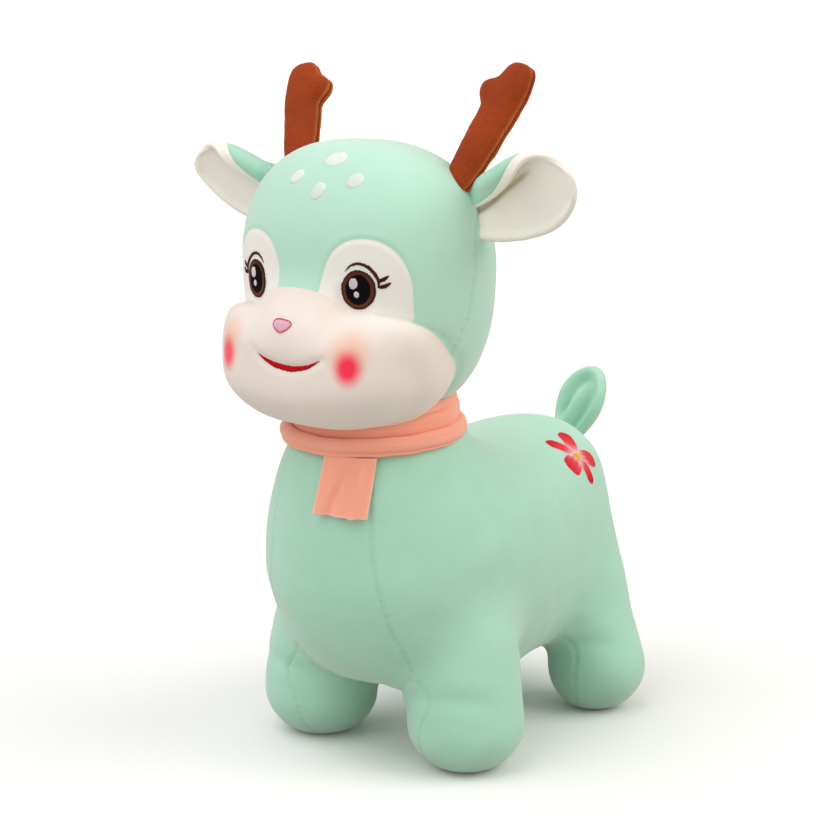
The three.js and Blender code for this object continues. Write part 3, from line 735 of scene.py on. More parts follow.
def thread_group():
    """Satin stitches along the second direction of the piece's own map, with painted shade in the hollows
    between threads.
    """
    inputs = (*FINISH_INPUTS, (FLOAT, "Twist scale", 3.0))
    tree, given, result = new_group("Satin thread", inputs, FINISH_OUTPUTS)
    axes = added(tree, "ShaderNodeSeparateXYZ", Vector=given["Vector"]).outputs
    ridge = maths(tree, "SINE", times(tree, maths(tree, "FRACT", axes[0]), math.pi))
    slant = plus(tree, times(tree, axes[1], given["Twist scale"]), axes[0])
    twist = maths(tree, "SINE", times(tree, slant, 2 * math.pi))
    each = tree.nodes.new("ShaderNodeTexWhiteNoise")
    each.noise_dimensions = "1D"
    wire(tree, each, W=maths(tree, "FLOOR", axes[0]))
    # Painted shade in the hollows between threads; each thread's tone also differs at random
    between_threads_shade = times(tree, maths(tree, "SUBTRACT", 1.0, ridge), 0.6)
    uneven = times(tree, each.outputs["Value"], 0.3)
    colour = mixed(tree, plus(tree, between_threads_shade, uneven, True), given["Colour"], given["Shade"])
    height = plus(tree, ridge, times(tree, twist, 0.18))
    wire(tree, result, Colour=colour, Roughness=remapped(tree, ridge, 0.0, 1.0, 0.6, 0.38), Height=height)
    return tree


def blush_group():
    """A soft oval mask about two mirrored places."""
    inputs = (
        (VECTOR, "Vector", None),
        (VECTOR, "Centre", (0.0, 0.0, 0.0)),
        (VECTOR, "Reach", (0.01, 0.01, 0.01)),
    )
    tree, given, result = new_group("Blush mask", inputs, ((FLOAT, "Mask"),))
    axes = added(tree, "ShaderNodeSeparateXYZ", Vector=given["Vector"]).outputs
    outward = maths(tree, "ABSOLUTE", axes[0])
    place = added(tree, "ShaderNodeCombineXYZ", X=outward, Y=axes[1], Z=axes[2]).outputs[0]
    offset = vector_maths(tree, "SUBTRACT", place, given["Centre"])
    share = vector_maths(tree, "LENGTH", vector_maths(tree, "DIVIDE", offset, given["Reach"]))
    wire(tree, result, Mask=remapped(tree, share, 0.25, 1.0, 1.0, 0.0))
    return tree


GROUP_MAKERS = {"Short pile": pile_group, "Satin thread": thread_group, "Blush mask": blush_group}


def group_node(tree, name, **inputs):
    node = tree.nodes.new("ShaderNodeGroup")
    node.node_tree = bpy.data.node_groups.get(name) or GROUP_MAKERS[name]()
    return wire(tree, node, **inputs)


def new_material(name):
    material = bpy.data.materials.new(name)
    material.use_nodes = True
    tree = material.node_tree
    return material, tree, tree.nodes["Principled BSDF"]


def dressed(tree, shader, colour, group, gloss, distance):
    """Gives a shader a colour, and the roughness and height of its pile or thread."""
    bump = added(tree, "ShaderNodeBump", Height=group.outputs["Height"])
    wire(tree, bump, Strength=BUMP_STRENGTH, Distance=distance)
    wire(tree, shader, Base_Color=colour, Roughness=group.outputs["Roughness"])
    wire(tree, shader, Specular_IOR_Level=gloss, Normal=bump.outputs[0])


def finish_material(name):
    """The material of a cloth or a thread, made when it is first wanted."""
    if name in bpy.data.materials:
        return bpy.data.materials[name]
    return plush(name) if name in CLOTHS else thread(name)


def plush(name):
    """Short pile cloth. It can carry cheek blush, or another colour where its rim is marked, which is a
    painted shadow in the ears' folds, a painted highlight on the antlers' lips and a paler colour at the
    scarf's edges.
    """
    spec = CLOTHS[name]
    colours = bpy.context.scene.fawn_colours

    def shown(key):
        return (*getattr(colours, key), 1.0)

    material, tree, shader = new_material(name)
    place = tree.nodes.new("ShaderNodeTexCoord").outputs["Object"]
    base = shown(spec["colour"])
    if "rim" in spec:
        base = mixed(tree, attribute(tree, "rim"), base, shown(spec["rim"]))
    pile = group_node(tree, "Short pile", Vector=place, Colour=base, Shade=shown(spec["shade"]))
    wire(tree, pile, Seam=attribute(tree, "seam"), Fleck=spec.get("fleck", FLECK))
    wire(tree, pile, Fibre_scale=spec.get("fibre", FIBRE_SCALE))
    result = pile.outputs["Colour"]
    for centre, reach, tint, amount in spec.get("blush", ()):
        extent = tuple(np.array(reach) * MM)
        mask = group_node(tree, "Blush mask", Vector=place, Centre=tuple(to_frame(centre)), Reach=extent)
        result = mixed(tree, times(tree, mask.outputs[0], amount), result, shown(tint))
    wire(tree, shader, Sheen_Weight=spec["sheen"], Sheen_Roughness=SHEEN_ROUGHNESS)
    dressed(tree, shader, result, pile, CLOTH_GLOSS, PILE_HEIGHT)
    return material


def thread(name):
    """Embroidery thread, in one colour or tinted along the mark of that name."""
    spec = THREADS[name]
    material, tree, shader = new_material(name)
    shade = (*srgb(*spec["shade"]), 1.0)
    if "tint" in spec:
        ramp_node = tree.nodes.new("ShaderNodeValToRGB")
        tree.links.new(attribute(tree, "tint"), ramp_node.inputs[0])
        elements = ramp_node.color_ramp.elements
        while len(elements) < len(spec["tint"]):
            elements.new(0.5)
        for element, (position, colour) in zip(elements, spec["tint"]):
            element.position = position
            element.color = (*srgb(*colour), 1.0)
        base = ramp_node.outputs["Color"]
        shade = mixed(tree, 0.28, base, shade)
    else:
        base = (*srgb(*spec["colour"]), 1.0)
    uv = tree.nodes.new("ShaderNodeUVMap")
    satin_node = group_node(tree, "Satin thread", Vector=uv.outputs[0], Colour=base, Shade=shade)
    gloss = spec.get("gloss", THREAD_GLOSS)
    dressed(tree, shader, satin_node.outputs["Colour"], satin_node, gloss, THREAD_HEIGHT)
    return material


# Lines on the body, by the places that they pass through
CHEST_SEAM = (
    (24, -62, 232), (33, -74, 200), (38, -79.4, 172.6), (38.9, -80.1, 163), (40.5, -80.7, 151),
    (41.8, -79.4, 138), (43.6, -77.2, 125), (45.5, -72, 109), (46, -62.7, 93), (46.8, -46, 71),
    (55, -47, 60), (58.7, -47.4, 53.5), (57, -47.2, 44), (52.6, -46.4, 34), (50, -42, 18), (49, -34, 5),
    (48, -24, 0),
)
BELLY_SEAM = (
    (46.8, -45, 71), (38.6, -41.5, 62), (31, -30, 55), (25, -10, 47), (25, 30, 40), (26, 80, 40),
    (32, 110, 46),
)
HIND_SEAM = ((52, 108, 62), (63, 112, 52), (66, 113, 40), (65, 114, 24), (62, 119, 8), (60, 125, 0))
FRONT_ANKLE = ((37, -40, 47), (48, -45, 53), (58.7, -47.4, 55), (72, -45, 55.5), (84, -37, 55), (94, -23, 51))
REAR_ANKLE = ((40, 112, 50), (52, 111, 50), (66, 112, 53), (80, 119, 54), (92, 134, 50))
LEG_FOLD = ((34, -36, 60), (28, -22, 56), (24, -4, 50), (26, 12, 48))
RUMP_FOLD = ((34, 112, 66), (50, 106, 64), (66, 106, 66), (80, 113, 68))

# Folds: line, depth and width
FOLDS = (
    (FRONT_ANKLE, 0.8, 5.0),
    (REAR_ANKLE, 0.8, 5.0),
    (LEG_FOLD, 1.3, 3.2),
    (RUMP_FOLD, 0.7, 5.0),
)
BODY_GROOVE = {"depth": 0.7, "width": 1.4, "pucker": 0.2, "shoulder": 0.16}
HEAD_GROOVE = {"depth": 0.8, "width": 1.4, "pucker": 0.18, "shoulder": 0.2}

# Where the rump runs straight into the hind legs, and where they spread: starts and runs of ramps
RUMP = {"out": (30, 20), "back": (60, 40), "up": (36, 26), "top": (178, -30), "rounds": 160}
LEG_SPREAD = {"back": (60, 40), "height": 40, "reach": 30, "out": (40, 30), "by": 4.0}
BELLY = {"middle": 58, "reach": 46, "top": (105, -60), "side": (84, -30), "drop": 9.0}

# Skins that stitches are laid on, and the lines of the seams
SKINS = {}
SEAMS = []


def grooved(points, line, depth, width, pucker=0.0, shoulder=0.0):
    """Offsets of a groove along a line, with small puckers and raised shoulders beside it."""
    distance, place = along_line(points, line)
    ends = np.minimum(place, len(line) - 1 - place)
    fade = ramp(ends, -2, 14)
    offset = -depth * bell(distance, width) * fade
    if shoulder:
        offset += shoulder * bell(distance - 2.2 * width, 1.2 * width) * fade
    if pucker:
        ripple = np.cos(2 * math.pi * place / 5.2 + np.sin(place / 7))
        offset -= pucker * ripple * bell(distance, 3.5 * width) * fade
    near = bell(distance, 0.9 * width) * fade
    return offset, near


def carved(points, faces, seams, folds):
    """A skin with its seams and folds, and the mark of the painted shade along its seams."""
    normals = normals_of(points, faces)
    skin = Skin(points, faces)
    total = np.zeros(len(points))
    mark = np.zeros(len(points))
    for line in seams:
        snapped = skin.nearest(smooth_line(line))
        offset, near = grooved(points, snapped, **BODY_GROOVE)
        total += offset
        mark = np.maximum(mark, 0.5 * near)
    for line, depth, width in folds:
        snapped = skin.nearest(smooth_line(line))
        offset, _ = grooved(points, snapped, depth, width, 0.0, depth * 0.45)
        total += offset
    return points + normals * total[:, None], mark


def both_sides(*lines):
    return [[(x * side, y, z) for x, y, z in line] for line in lines for side in SIDES.values()]


def straight_rump(points, edges):
    """The rump runs down into the hind legs without a notch, and the legs stand a little wider."""
    x, y, z = np.abs(points[:, 0]), points[:, 1], points[:, 2]
    outer = ramp(x, *RUMP["out"]) * ramp(y, *RUMP["back"])
    outer *= ramp(z, *RUMP["up"]) * ramp(z, *RUMP["top"])
    points = relaxed(points, edges, outer, RUMP["rounds"])
    low = bell(z - LEG_SPREAD["height"], LEG_SPREAD["reach"])
    wider = ramp(y, *LEG_SPREAD["back"]) * low * ramp(x, *LEG_SPREAD["out"])
    points[:, 0] += np.sign(points[:, 0]) * LEG_SPREAD["by"] * wider
    return points


def lowered_belly(points):
    """The belly hangs low between the front and the hind legs."""
    x, y, z = np.abs(points[:, 0]), points[:, 1], points[:, 2]
    between_legs = bell(y - BELLY["middle"], BELLY["reach"])
    hanging = between_legs * ramp(z, *BELLY["top"]) * ramp(x, *BELLY["side"])
    points[:, 2] -= BELLY["drop"] * hanging
    return points


def make_body():
    sizes = bpy.context.scene.fawn_sizes
    body = body_form()
    legs = [leg_form(leg, side) for leg in (FRONT_LEG, HIND_LEG) for side in SIDES.values()]
    points, faces = fused([body, *legs], sizes.body_voxel / MM)
    edges = edges_of(faces)
    points = evened(points, edges)
    from_body = distances(points, body)
    from_legs = np.min([distances(points, leg) for leg in legs], axis=0)
    junction = bell(np.maximum(from_body, from_legs), BODY_JUNCTION["reach"])
    points = relaxed(points, edges, junction, BODY_JUNCTION["rounds"])
    points = lowered_belly(straight_rump(points, edges))
    points, faces = finer(points, faces)
    normals = normals_of(points, faces)
    above_soles = points[:, 2] > 3
    points = points + normals * (lumpy(points, BODY_LUMPS) * above_soles)[:, None]
    seams = both_sides(CHEST_SEAM, BELLY_SEAM, HIND_SEAM)
    folds = [(line, depth, width) for fold, depth, width in FOLDS for line in both_sides(fold)]
    points, mark = carved(points, faces, seams, folds)
    points[:, 2] = np.maximum(points[:, 2], 0)
    nodes = ("body", *(f"{leg}_leg_{side}" for leg in ("front", "hind") for side in SIDES), "body_stuffing")
    piece = finished("body_skin", points, faces, "Mint plush", nodes, {"seam": mark})
    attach(piece, "fawn")
    SKINS["body"] = Skin(points, faces)
    SEAMS.extend(SKINS["body"].nearest(smooth_line(line)) for line in seams)


HEAD_SEAM = (
    (0, 4, 405), (30, 3, 397), (50, 0, 386), (62, -8, 377), (74, -20, 362), (79.7, -27.9, 352.3),
    (82.5, -32.9, 326.9), (80.3, -36.5, 305.7), (73.6, -42.6, 285.8), (70, -44, 272), (66, -40, 258),
    (52, -30, 246),
)

# Forms on the front of the face: height, width, reach up and down, and how far they stand out
SNOUT = {"z": 302, "width": 30, "height": 19, "rise": 4.0}
CHIN = {"z": 268, "width": 42, "height": 14, "rise": -2.5}

# How the face rests on the head at the eyes, and the creases and swells beside its seams
EYE_REST = {"edge": 1.5, "run": -0.42, "sink": 0.4}
SMILE_CREASE = {"depth": 2.3, "below": 3.2, "above": 2.6}
SMILE_LIP = {"rise": 0.4, "away": 8, "width": 6, "below": 0.55}
PATCH_GROOVE = {"depth": 0.5, "width": 1.3, "rise": 0.15, "away": 3, "spread": 1.8}
MUZZLE_GROOVE = {"depth": 1.3, "width": 1.6}
CHEEK = {"rise": 2.3, "inside": 9, "width": 7, "side": (34, 14), "under": (285, -20)}
LEDGE = {"z": 306, "height": 12, "side": (52, -16), "bottom": 285}

# The smile, across and up
SMILE = (
    (-25, 287.5), (-18.5, 280.2), (-12, 276.8), (-2.5, 274.3), (8.5, 273.6), (20, 275.8), (29.5, 280.4),
    (33, 283),
)


def smile_line(skin):
    flat = smooth_line([(x, 0, z) for x, z in SMILE], 0.8)
    return skin.under(flat, (0, 1, 0))[0]


def face_form(points, form):
    """How far a form on the front of the face stands out at each point."""
    across, up = points[:, 0] / form["width"], (points[:, 2] - form["z"]) / form["height"]
    return form["rise"] * np.exp(-(across**2) - up**2)


def laid_at_eyes(points, head):
    """The face lies on the head at the eyes, above the top of the muzzle."""
    head_skin = Skin(*head)
    for side in SIDES.values():
        across = (points[:, 0] - side * EYE["x"]) / (EYE["width"] / 2)
        up = (points[:, 2] - EYE["z"]) / (EYE["height"] / 2)
        near = ramp(np.hypot(across, up), EYE_REST["edge"], EYE_REST["run"]) * (points[:, 1] < HEAD["y"])
        chosen = np.flatnonzero(near > 0)
        flat = head_skin.under(points[chosen] * (1, 0, 1), (0, 1, 0))[0][:, 1] - EYE_REST["sink"]
        weight = near[chosen] ** 2 * (3 - 2 * near[chosen])
        points[chosen, 1] = np.maximum(points[chosen, 1], points[chosen, 1] * (1 - weight) + flat * weight)


def pressed_smile(points, skin):
    """The smile is pressed into the muzzle, with a soft lip beside it."""
    smile = smile_line(skin)
    distance, place = along_line(points, smile)
    share = place / (len(smile) - 1)
    deep = np.sin(math.pi * np.clip(share, 0, 1)) ** 0.6
    below = points[:, 2] < smile[place, 2]
    width = np.where(below, SMILE_CREASE["below"], SMILE_CREASE["above"])
    crease = -SMILE_CREASE["depth"] * deep * bell(distance, width)
    lip = SMILE_LIP["rise"] * deep * bell(distance - SMILE_LIP["away"], SMILE_LIP["width"])
    lip = lip * np.where(below, SMILE_LIP["below"], 1.0)
    points[:, 1] -= crease + lip


def patch_distance(points):
    """How far each point lies outside the nearer eye patch, below zero inside it."""
    values = []
    for side in SIDES.values():
        across = (points[:, 0] - side * PATCH["x"]) / (PATCH["width"] / 2)
        up = points[:, 2] - PATCH["z"]
        up = np.where(up > 0, up / PATCH["rise"], up / PATCH["drop"])
        power = PATCH["squareness"]
        reach = (np.abs(across) ** power + np.abs(up) ** power) ** (1 / power)
        value = (reach - 1) * (PATCH["width"] / 2 + PATCH["rise"]) / 2
        values.append(np.where(points[:, 1] < HEAD["y"], value, 99))
    return np.minimum(*values)


def seamed_face(points, faces, skin, values, patch):
    """The face with its panels' seams and full cheeks, and the mark of the painted shade along its seams."""
    normals = normals_of(points, faces)
    edge = np.where(values > 0, np.abs(patch), 99)
    line = bell(edge, PATCH_GROOVE["width"])
    shoulder = bell(edge - PATCH_GROOVE["away"], PATCH_GROOVE["spread"])
    offset = -PATCH_GROOVE["depth"] * line + PATCH_GROOVE["rise"] * shoulder
    at_side = ramp(np.abs(points[:, 0]), *CHEEK["side"])
    at_side = np.clip(at_side + ramp(points[:, 2], *CHEEK["under"]), 0, 1)
    muzzle_edge = bell(values, MUZZLE_GROOVE["width"]) * at_side
    offset -= MUZZLE_GROOVE["depth"] * muzzle_edge
    inside = np.where(values < 0, bell(values + CHEEK["inside"], CHEEK["width"]), 0)
    offset += CHEEK["rise"] * inside * at_side
    mark = np.maximum(0.5 * line, 0.6 * muzzle_edge)
    off_muzzle = values > 0
    for seam in both_sides(HEAD_SEAM):
        groove, near = grooved(points, skin.nearest(smooth_line(seam)), **HEAD_GROOVE)
        offset += groove * off_muzzle
        mark = np.maximum(mark, 0.6 * near * off_muzzle)
    return points + normals * offset[:, None], mark


def make_head():
    sizes = bpy.context.scene.fawn_sizes
    head = upright_form(HEAD_SHARES, HEAD, HEAD_ENDS, HEAD_SQUARENESS)
    muzzle = upright_form(MUZZLE_SHARES, MUZZLE, MUZZLE_ENDS, MUZZLE_SQUARENESS)
    bridge = upright_form(BRIDGE_SHARES, BRIDGE, HEAD_ENDS, HEAD_SQUARENESS)
    points, faces = fused([head, muzzle, bridge], sizes.head_voxel / MM)
    edges = edges_of(faces)
    points = evened(points, edges)
    points = softened_face(points, edges, head, muzzle, bridge)
    points, faces = finer(points, faces)
    normals = normals_of(points, faces)
    front = np.clip(-normals[:, 1], 0, 1)
    points[:, 1] -= front * (face_form(points, SNOUT) + face_form(points, CHIN))
    points += normals * lumpy(points, HEAD_LUMPS)[:, None]
    laid_at_eyes(points, head)
    skin = Skin(points, faces)
    pressed_smile(points, skin)

    values = np.minimum(distances(points, muzzle), distances(points, bridge)) - distances(points, head)
    patch = patch_distance(points)
    points, mark = seamed_face(points, faces, skin, values, patch)
    normals = normals_of(points, faces)
    SKINS["face"] = Skin(points, faces)
    SEAMS.extend(SKINS["face"].nearest(smooth_line(seam[:-3])) for seam in both_sides(HEAD_SEAM))

    nearest = nearest_of(points)
    muzzle_part, rest = divided(points, faces, values)
    patches, cap = divided(rest[0], rest[1], patch[nearest(rest[0])])
    left, right = divided(patches[0], patches[1], -patches[0][:, 0])
    for name, part, finish, nodes in (
        ("muzzle_skin", muzzle_part, "Blushed cream plush", ("muzzle",)),
        ("head_skin", cap, "Head mint plush", ("head", "head_stuffing")),
        ("eye_patch_skin_left", left, "Patch cream plush", ("eye_patch_left",)),
        ("eye_patch_skin_right", right, "Patch cream plush", ("eye_patch_right",)),
    ):
        outer = len(part[0])
        wall = shell(*part, sizes.cloth / MM)
        near = nearest(wall[0])
        shown = normals[near] * np.where(np.arange(len(near)) < outer, 1, -1)[:, None]
        piece = finished(name, *wall, finish, nodes, {"seam": mark[near]}, None, shown)
        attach(piece, "fawn")


def softened_face(points, edges, head, muzzle, bridge):
    """The crease between the muzzle and the eye patches is soft in the middle of the face."""
    from_head = distances(points, head)
    from_muzzle = np.minimum(distances(points, muzzle), distances(points, bridge))
    junction = bell(np.maximum(from_head, from_muzzle), FACE_JUNCTION["reach"])
    ledge = bell(points[:, 2] - LEDGE["z"], LEDGE["height"]) * (points[:, 1] < HEAD["y"])
    middle = ramp(np.abs(points[:, 0]), *LEDGE["side"]) * (points[:, 2] > LEDGE["bottom"])
    points = relaxed(points, edges, np.maximum(junction, ledge) * middle, FACE_JUNCTION["rounds"])
    return relaxed(points, edges, np.ones(len(points)), 2)


# Embroidery


SAMPLES_A_THREAD = 4
PAD_SINK = 0.35


def satin(name, skin, view, sweep, pad, finish, nodes=(), seed=1, closed=False, tint=None):
    """A pad of satin stitches on a skin, with its count of threads and of rows, and its height.

    The sweep gives where the thread at a share starts and ends, across and up in the view.
    """
    threads, rows, height = pad
    rng = np.random.default_rng(seed)
    count = threads * SAMPLES_A_THREAD
    share = np.arange(count if closed else count + 1) / count
    slack = rng.uniform(-0.05, 0.05, (threads + 1, 2))
    index = np.minimum((share * threads).astype(int), threads)
    starts, ends = sweep(share)
    run = ends - starts
    long = np.maximum(np.linalg.norm(run, axis=1), 0.3)[:, None]
    starts = starts + run * np.clip(slack[index, :1] * 5 / long, -0.1, 0.1)
    ends = ends + run * np.clip(slack[index, 1:] * 5 / long, -0.1, 0.1)
    t = (1 - np.cos(np.linspace(0, math.pi, rows + 1))) / 2
    flat = starts[:, None, :] + (ends - starts)[:, None, :] * t[None, :, None]
    origin, across, up, out = (np.array(view[key], float) for key in ("origin", "across", "up", "out"))
    space = origin + flat[..., :1] * across + flat[..., 1:] * up
    places, normals = (values.reshape(space.shape) for values in skin.under(space.reshape(-1, 3), -out))
    ridge = 0.6 + 0.4 * np.abs(np.sin(math.pi * share * threads))
    end_round = np.sqrt(np.maximum(0, 1 - np.abs(2 * t - 1) ** 5))
    edge_round = 1 if closed else np.sqrt(np.maximum(0, 1 - np.abs(2 * share - 1) ** 7))
    rise = height * (ridge * edge_round)[:, None] * end_round[None, :]
    top = places + normals * rise[..., None]
    bottom = places - normals * PAD_SINK
    columns, lines = top.shape[:2]
    base = columns * lines
    last = lines - 1
    faces = []
    for i in range(columns if closed else columns - 1):
        k = (i + 1) % columns
        for j in range(last):
            a, b, c, d = i * lines + j, k * lines + j, k * lines + j + 1, i * lines + j + 1
            faces.append((a, b, c, d))
            faces.append((base + d, base + c, base + b, base + a))
        here, there = i * lines, k * lines
        faces.append((here, base + here, base + there, there))
        faces.append((there + last, base + there + last, base + here + last, here + last))
    if not closed:
        for i in (0, columns - 1):
            for j in range(last):
                a, d = i * lines + j, i * lines + j + 1
                faces.append((a, d, base + d, base + a) if i == 0 else (base + a, base + d, d, a))
    uv = np.stack([np.repeat(share * threads, lines), np.tile(t * long.mean() * 2, columns)], 1)
    tints = np.zeros(base) if tint is None else tint(share, t).ravel()
    mesh = outwards(new_mesh("pad", np.vstack([top.reshape(-1, 3), bottom.reshape(-1, 3)]), faces))
    piece = finished(name, *taken(mesh), finish, nodes, {"tint": np.tile(tints, 2)}, np.vstack([uv, uv]))
    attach(piece, "fawn")


def oval_sweep(width, height, x=0.0, z=0.0, turn=0.0):
    """Threads up an oval that leans by an angle."""
    def sweep(share):
        across = (2 * share - 1) * 0.985
        half = np.sqrt(1 - across**2) * height / 2
        low = np.stack([across * width / 2, -half], 1)
        high = np.stack([across * width / 2, half], 1)
        c, s = math.cos(math.radians(turn)), math.sin(math.radians(turn))
        spin = np.array([[c, s], [-s, c]])
        return low @ spin + (x, z), high @ spin + (x, z)
    return sweep


def ring_sweep(width, height, ring):
    def sweep(share):
        angle = 2 * math.pi * share
        way = np.stack([np.cos(angle), np.sin(angle)], 1)
        outer = way * (width / 2, height / 2)
        inner = way * (width / 2 - ring, height / 2 - ring)
        return inner, outer
    return sweep


def stroke_sweep(points, width, slant=0.35, ends=0.2, lean=0.0):
    """Threads across a line that narrows towards both ends, and towards its start by a lean."""
    def sweep(share):
        line = row_curve(points, share)
        step = 0.01
        run = row_curve(points, np.clip(share + step, 0, 1)) - row_curve(points, np.clip(share - step, 0, 1))
        run /= np.linalg.norm(run, axis=1)[:, None]
        side = np.stack([-run[:, 1], run[:, 0]], 1) + slant * run
        half = width / 2 * np.maximum(ends, np.sin(math.pi * share) ** 0.5)[:, None]
        half = half * (1 - lean + lean * share)[:, None]
        return line - side * half, line + side * half
    return sweep


# The eye's lines and glints, in shares of its width and height
LID_SHARES = (
    (-0.4, 0.44), (-0.24, 0.59), (-0.02, 0.66), (0.24, 0.6), (0.45, 0.43), (0.56, 0.25), (0.56, 0.1),
)
LASH_SHARES = (((0.53, 0.24), (0.69, 0.28), (0.83, 0.38)), ((0.54, 0.1), (0.72, 0.11), (0.88, 0.2)))
GLINT_SHARES = {"large": (-0.13, 0.15, 0.26, 0.3), "small": (-0.03, -0.12, 0.16, 0.17)}
IRIS_RING = 3.0
PUPIL_OVERLAP = 0.9

# Pads: threads, rows and height
IRIS_PAD = (130, 6, 0.75)
PUPIL_PAD = (40, 16, 0.62)
GLINT_PADS = {"large": (12, 10, 1.05), "small": (8, 10, 1.05)}
LID_PAD = (70, 6, 0.7)
LASH_PAD = (22, 5, 0.6)
SPOT_PAD = (26, 12, 1.0)
NOSE_PAD = (26, 12, 0.8)
NOSE_EDGE_PAD = (70, 4, 0.8)
SMILE_PAD = (90, 8, 0.9)
FLOWER_EYE_PAD = (16, 10, 1.3)


def front_view(x, z):
    return {"origin": (x, 0, z), "across": (1, 0, 0), "up": (0, 0, 1), "out": (0, -1, 0)}


def iris_tint(share, t):
    """The iris is darker outwards, and paler low down."""
    low = np.clip(-np.sin(2 * math.pi * share), 0, 1) ** 2
    return np.clip(t[None, :] - 0.35 * low[:, None] * (t[None, :] < 0.6), 0, 1)


def make_eyes():
    face = SKINS["face"]
    width, height = EYE["width"], EYE["height"]
    pupil = (dimension - 2 * IRIS_RING + PUPIL_OVERLAP for dimension in (width, height))
    pupil_sweep = oval_sweep(*pupil)
    for name, side in SIDES.items():
        view = front_view(side * EYE["x"], EYE["z"])
        ring = ring_sweep(width, height, IRIS_RING)
        satin(f"iris_ring_{name}", face, view, ring, IRIS_PAD, "Iris thread", (f"iris_{name}",), 3,
              closed=True, tint=iris_tint)
        satin(f"pupil_pad_{name}", face, view, pupil_sweep, PUPIL_PAD, "Black thread", (f"pupil_{name}",), 5)
        for size, (x, z, wide, high) in GLINT_SHARES.items():
            glint = oval_sweep(wide * width, high * height, x * width, z * height)
            satin(f"{size}_glint_pad_{name}", face, view, glint, GLINT_PADS[size], "White thread",
                  (f"{size}_glint_{name}",), 7)

        def stroke(shares, *shape):
            return stroke_sweep([(side * x * width, z * height) for x, z in shares], *shape)

        lid = stroke(LID_SHARES, 2.7, 0.35, 0.3, 0.5)
        satin(f"lid_{name}", face, view, lid, LID_PAD, "Maroon thread", (f"lashes_{name}",), 9)
        for i, shares in enumerate(LASH_SHARES):
            lash = stroke(shares, 1.9, 0.5, 0.35, -0.6)
            satin(f"lash_{i + 1}_{name}", face, view, lash, LASH_PAD, "Maroon thread", (), 11 + i)


# The spots' places on the head, their slope, size and lean
SPOTS = {
    "crown_spot": ((4.5, -65, 389), 0.64, 14.5, 12.5, 24),
    "brow_spot": ((4, -81, 373.5), 0.42, 8.8, 12.0, -14),
    "left_spot": ((26.5, -74, 380), 0.5, 9.4, 11.5, -30),
    "right_spot": ((-18, -75, 379.5), 0.5, 8.2, 11.5, -24),
}
# The nose: its outline in shares, its place, its width and height
NOSE_SHARES = (
    (-0.55, 0.16), (-0.36, 0.46), (0.0, 0.5), (0.42, 0.38), (0.54, 0.12), (0.36, -0.24), (0.0, -0.5),
    (-0.32, -0.26), (-0.55, 0.16),
)
NOSE_PLACE = (0.2, 298.8)
NOSE_SIZE = (13.2, 7.6)


def smile_sweep(share):
    line = row_curve(SMILE[1:-1], share)
    half = 1.9 * np.sin(math.pi * share) ** 0.9 + 0.15
    low = line - np.stack([np.zeros_like(half), half * 1.15], 1)
    high = line + np.stack([np.zeros_like(half), half * 0.75], 1)
    return low, high


def smile_tint(share, t):
    return np.tile(t, (len(share), 1))


def make_face_stitching():
    face = SKINS["face"]
    for name, (origin, slope, width, height, lean) in SPOTS.items():
        turn = (1 - slope) * math.pi / 2
        up = (0, math.cos(turn), math.sin(turn))
        view = {"origin": origin, "across": (1, 0, 0), "up": up, "out": (0, -up[2], up[1])}
        oval = oval_sweep(width, height, 0, 0, lean)
        satin(f"{name}_pad", face, view, oval, SPOT_PAD, "Spot thread", (name,), 13)

    nose_view = front_view(*NOSE_PLACE)
    rim = np.array(NOSE_SHARES) * NOSE_SIZE
    centre = rim[:-1].mean(axis=0) * (0.6, 0.2)

    def nose_fill(share):
        across = (2 * share - 1) * 0.97
        half = np.sqrt(1 - across**2)
        drop = half * 3.0 * (1 - np.abs(across) ** 1.5 * 0.5)
        low = np.stack([across * 6.1 * (1 - 0.1 * half), -0.4 - drop], 1)
        high = np.stack([across * 6.1, 0.8 + half * 2.2], 1)
        return low + centre, high + centre

    satin("nose_pad", face, nose_view, nose_fill, NOSE_PAD, "Pink thread", ("nose",), 15)
    nose_edge = stroke_sweep(rim, 0.75, 0.5, 1.0)
    satin("nose_edge", face, nose_view, nose_edge, NOSE_EDGE_PAD, "Rose thread", (), 17)
    satin("smile_pad", face, front_view(0, 0), smile_sweep, SMILE_PAD, "Red thread", ("mouth",), 19,
          tint=smile_tint)


# Petals: turn in degrees, length, width, how far out they are widest, and how deep red the tip is
PETALS = (
    (152, 28, 11.5, 0.66, 0.8),
    (213, 24, 11.0, 0.66, 1.0),
    (295, 21, 15.0, 0.66, 0.5),
    (14, 19, 9.5, 0.74, 1.0),
    (82, 23, 12.5, 0.62, 0.7),
)
FLOWER = {"centre": (56, 125, 182), "out": (0.52, 0.04, 0.85)}
PETAL_THREADS_A_MM = 2.6


def petal_sweep(turn, length, width, widest):
    """Threads from the flower's middle outwards, over a petal that is round at its tip."""
    angle = math.radians(turn)
    along = np.array([math.cos(angle), math.sin(angle)])
    aside = np.array([-along[1], along[0]])

    def sweep(share):
        spread = 2 * share - 1
        open_part = np.sqrt(np.maximum(0, 1 - np.abs(spread) ** 2.2))
        low = 0.1 + (widest - 0.1) * (1 - open_part ** 0.8)
        high = widest + (1 - widest) * open_part
        middle = aside * (spread * width / 2)[:, None]
        return along * (length * low)[:, None] + middle, along * (length * high)[:, None] + middle

    return sweep


def petal_tint(deep):
    """Pale at the middle, red outwards, with a pale edge."""
    def tint(share, t):
        fringe = 0.08 * np.sin(share * 61) + 0.05 * np.sin(share * 23)
        tinted = np.clip((t[None, :] * (0.55 + 0.5 * deep)) + fringe[:, None], 0, 1)
        pale_edge = ramp(np.abs(2 * share - 1), 0.88, 0.1)[:, None]
        pale_tip = ramp(t, 0.965, 0.03)[None, :]
        return tinted * (1 - 0.82 * np.maximum(pale_edge, pale_tip))

    return tint


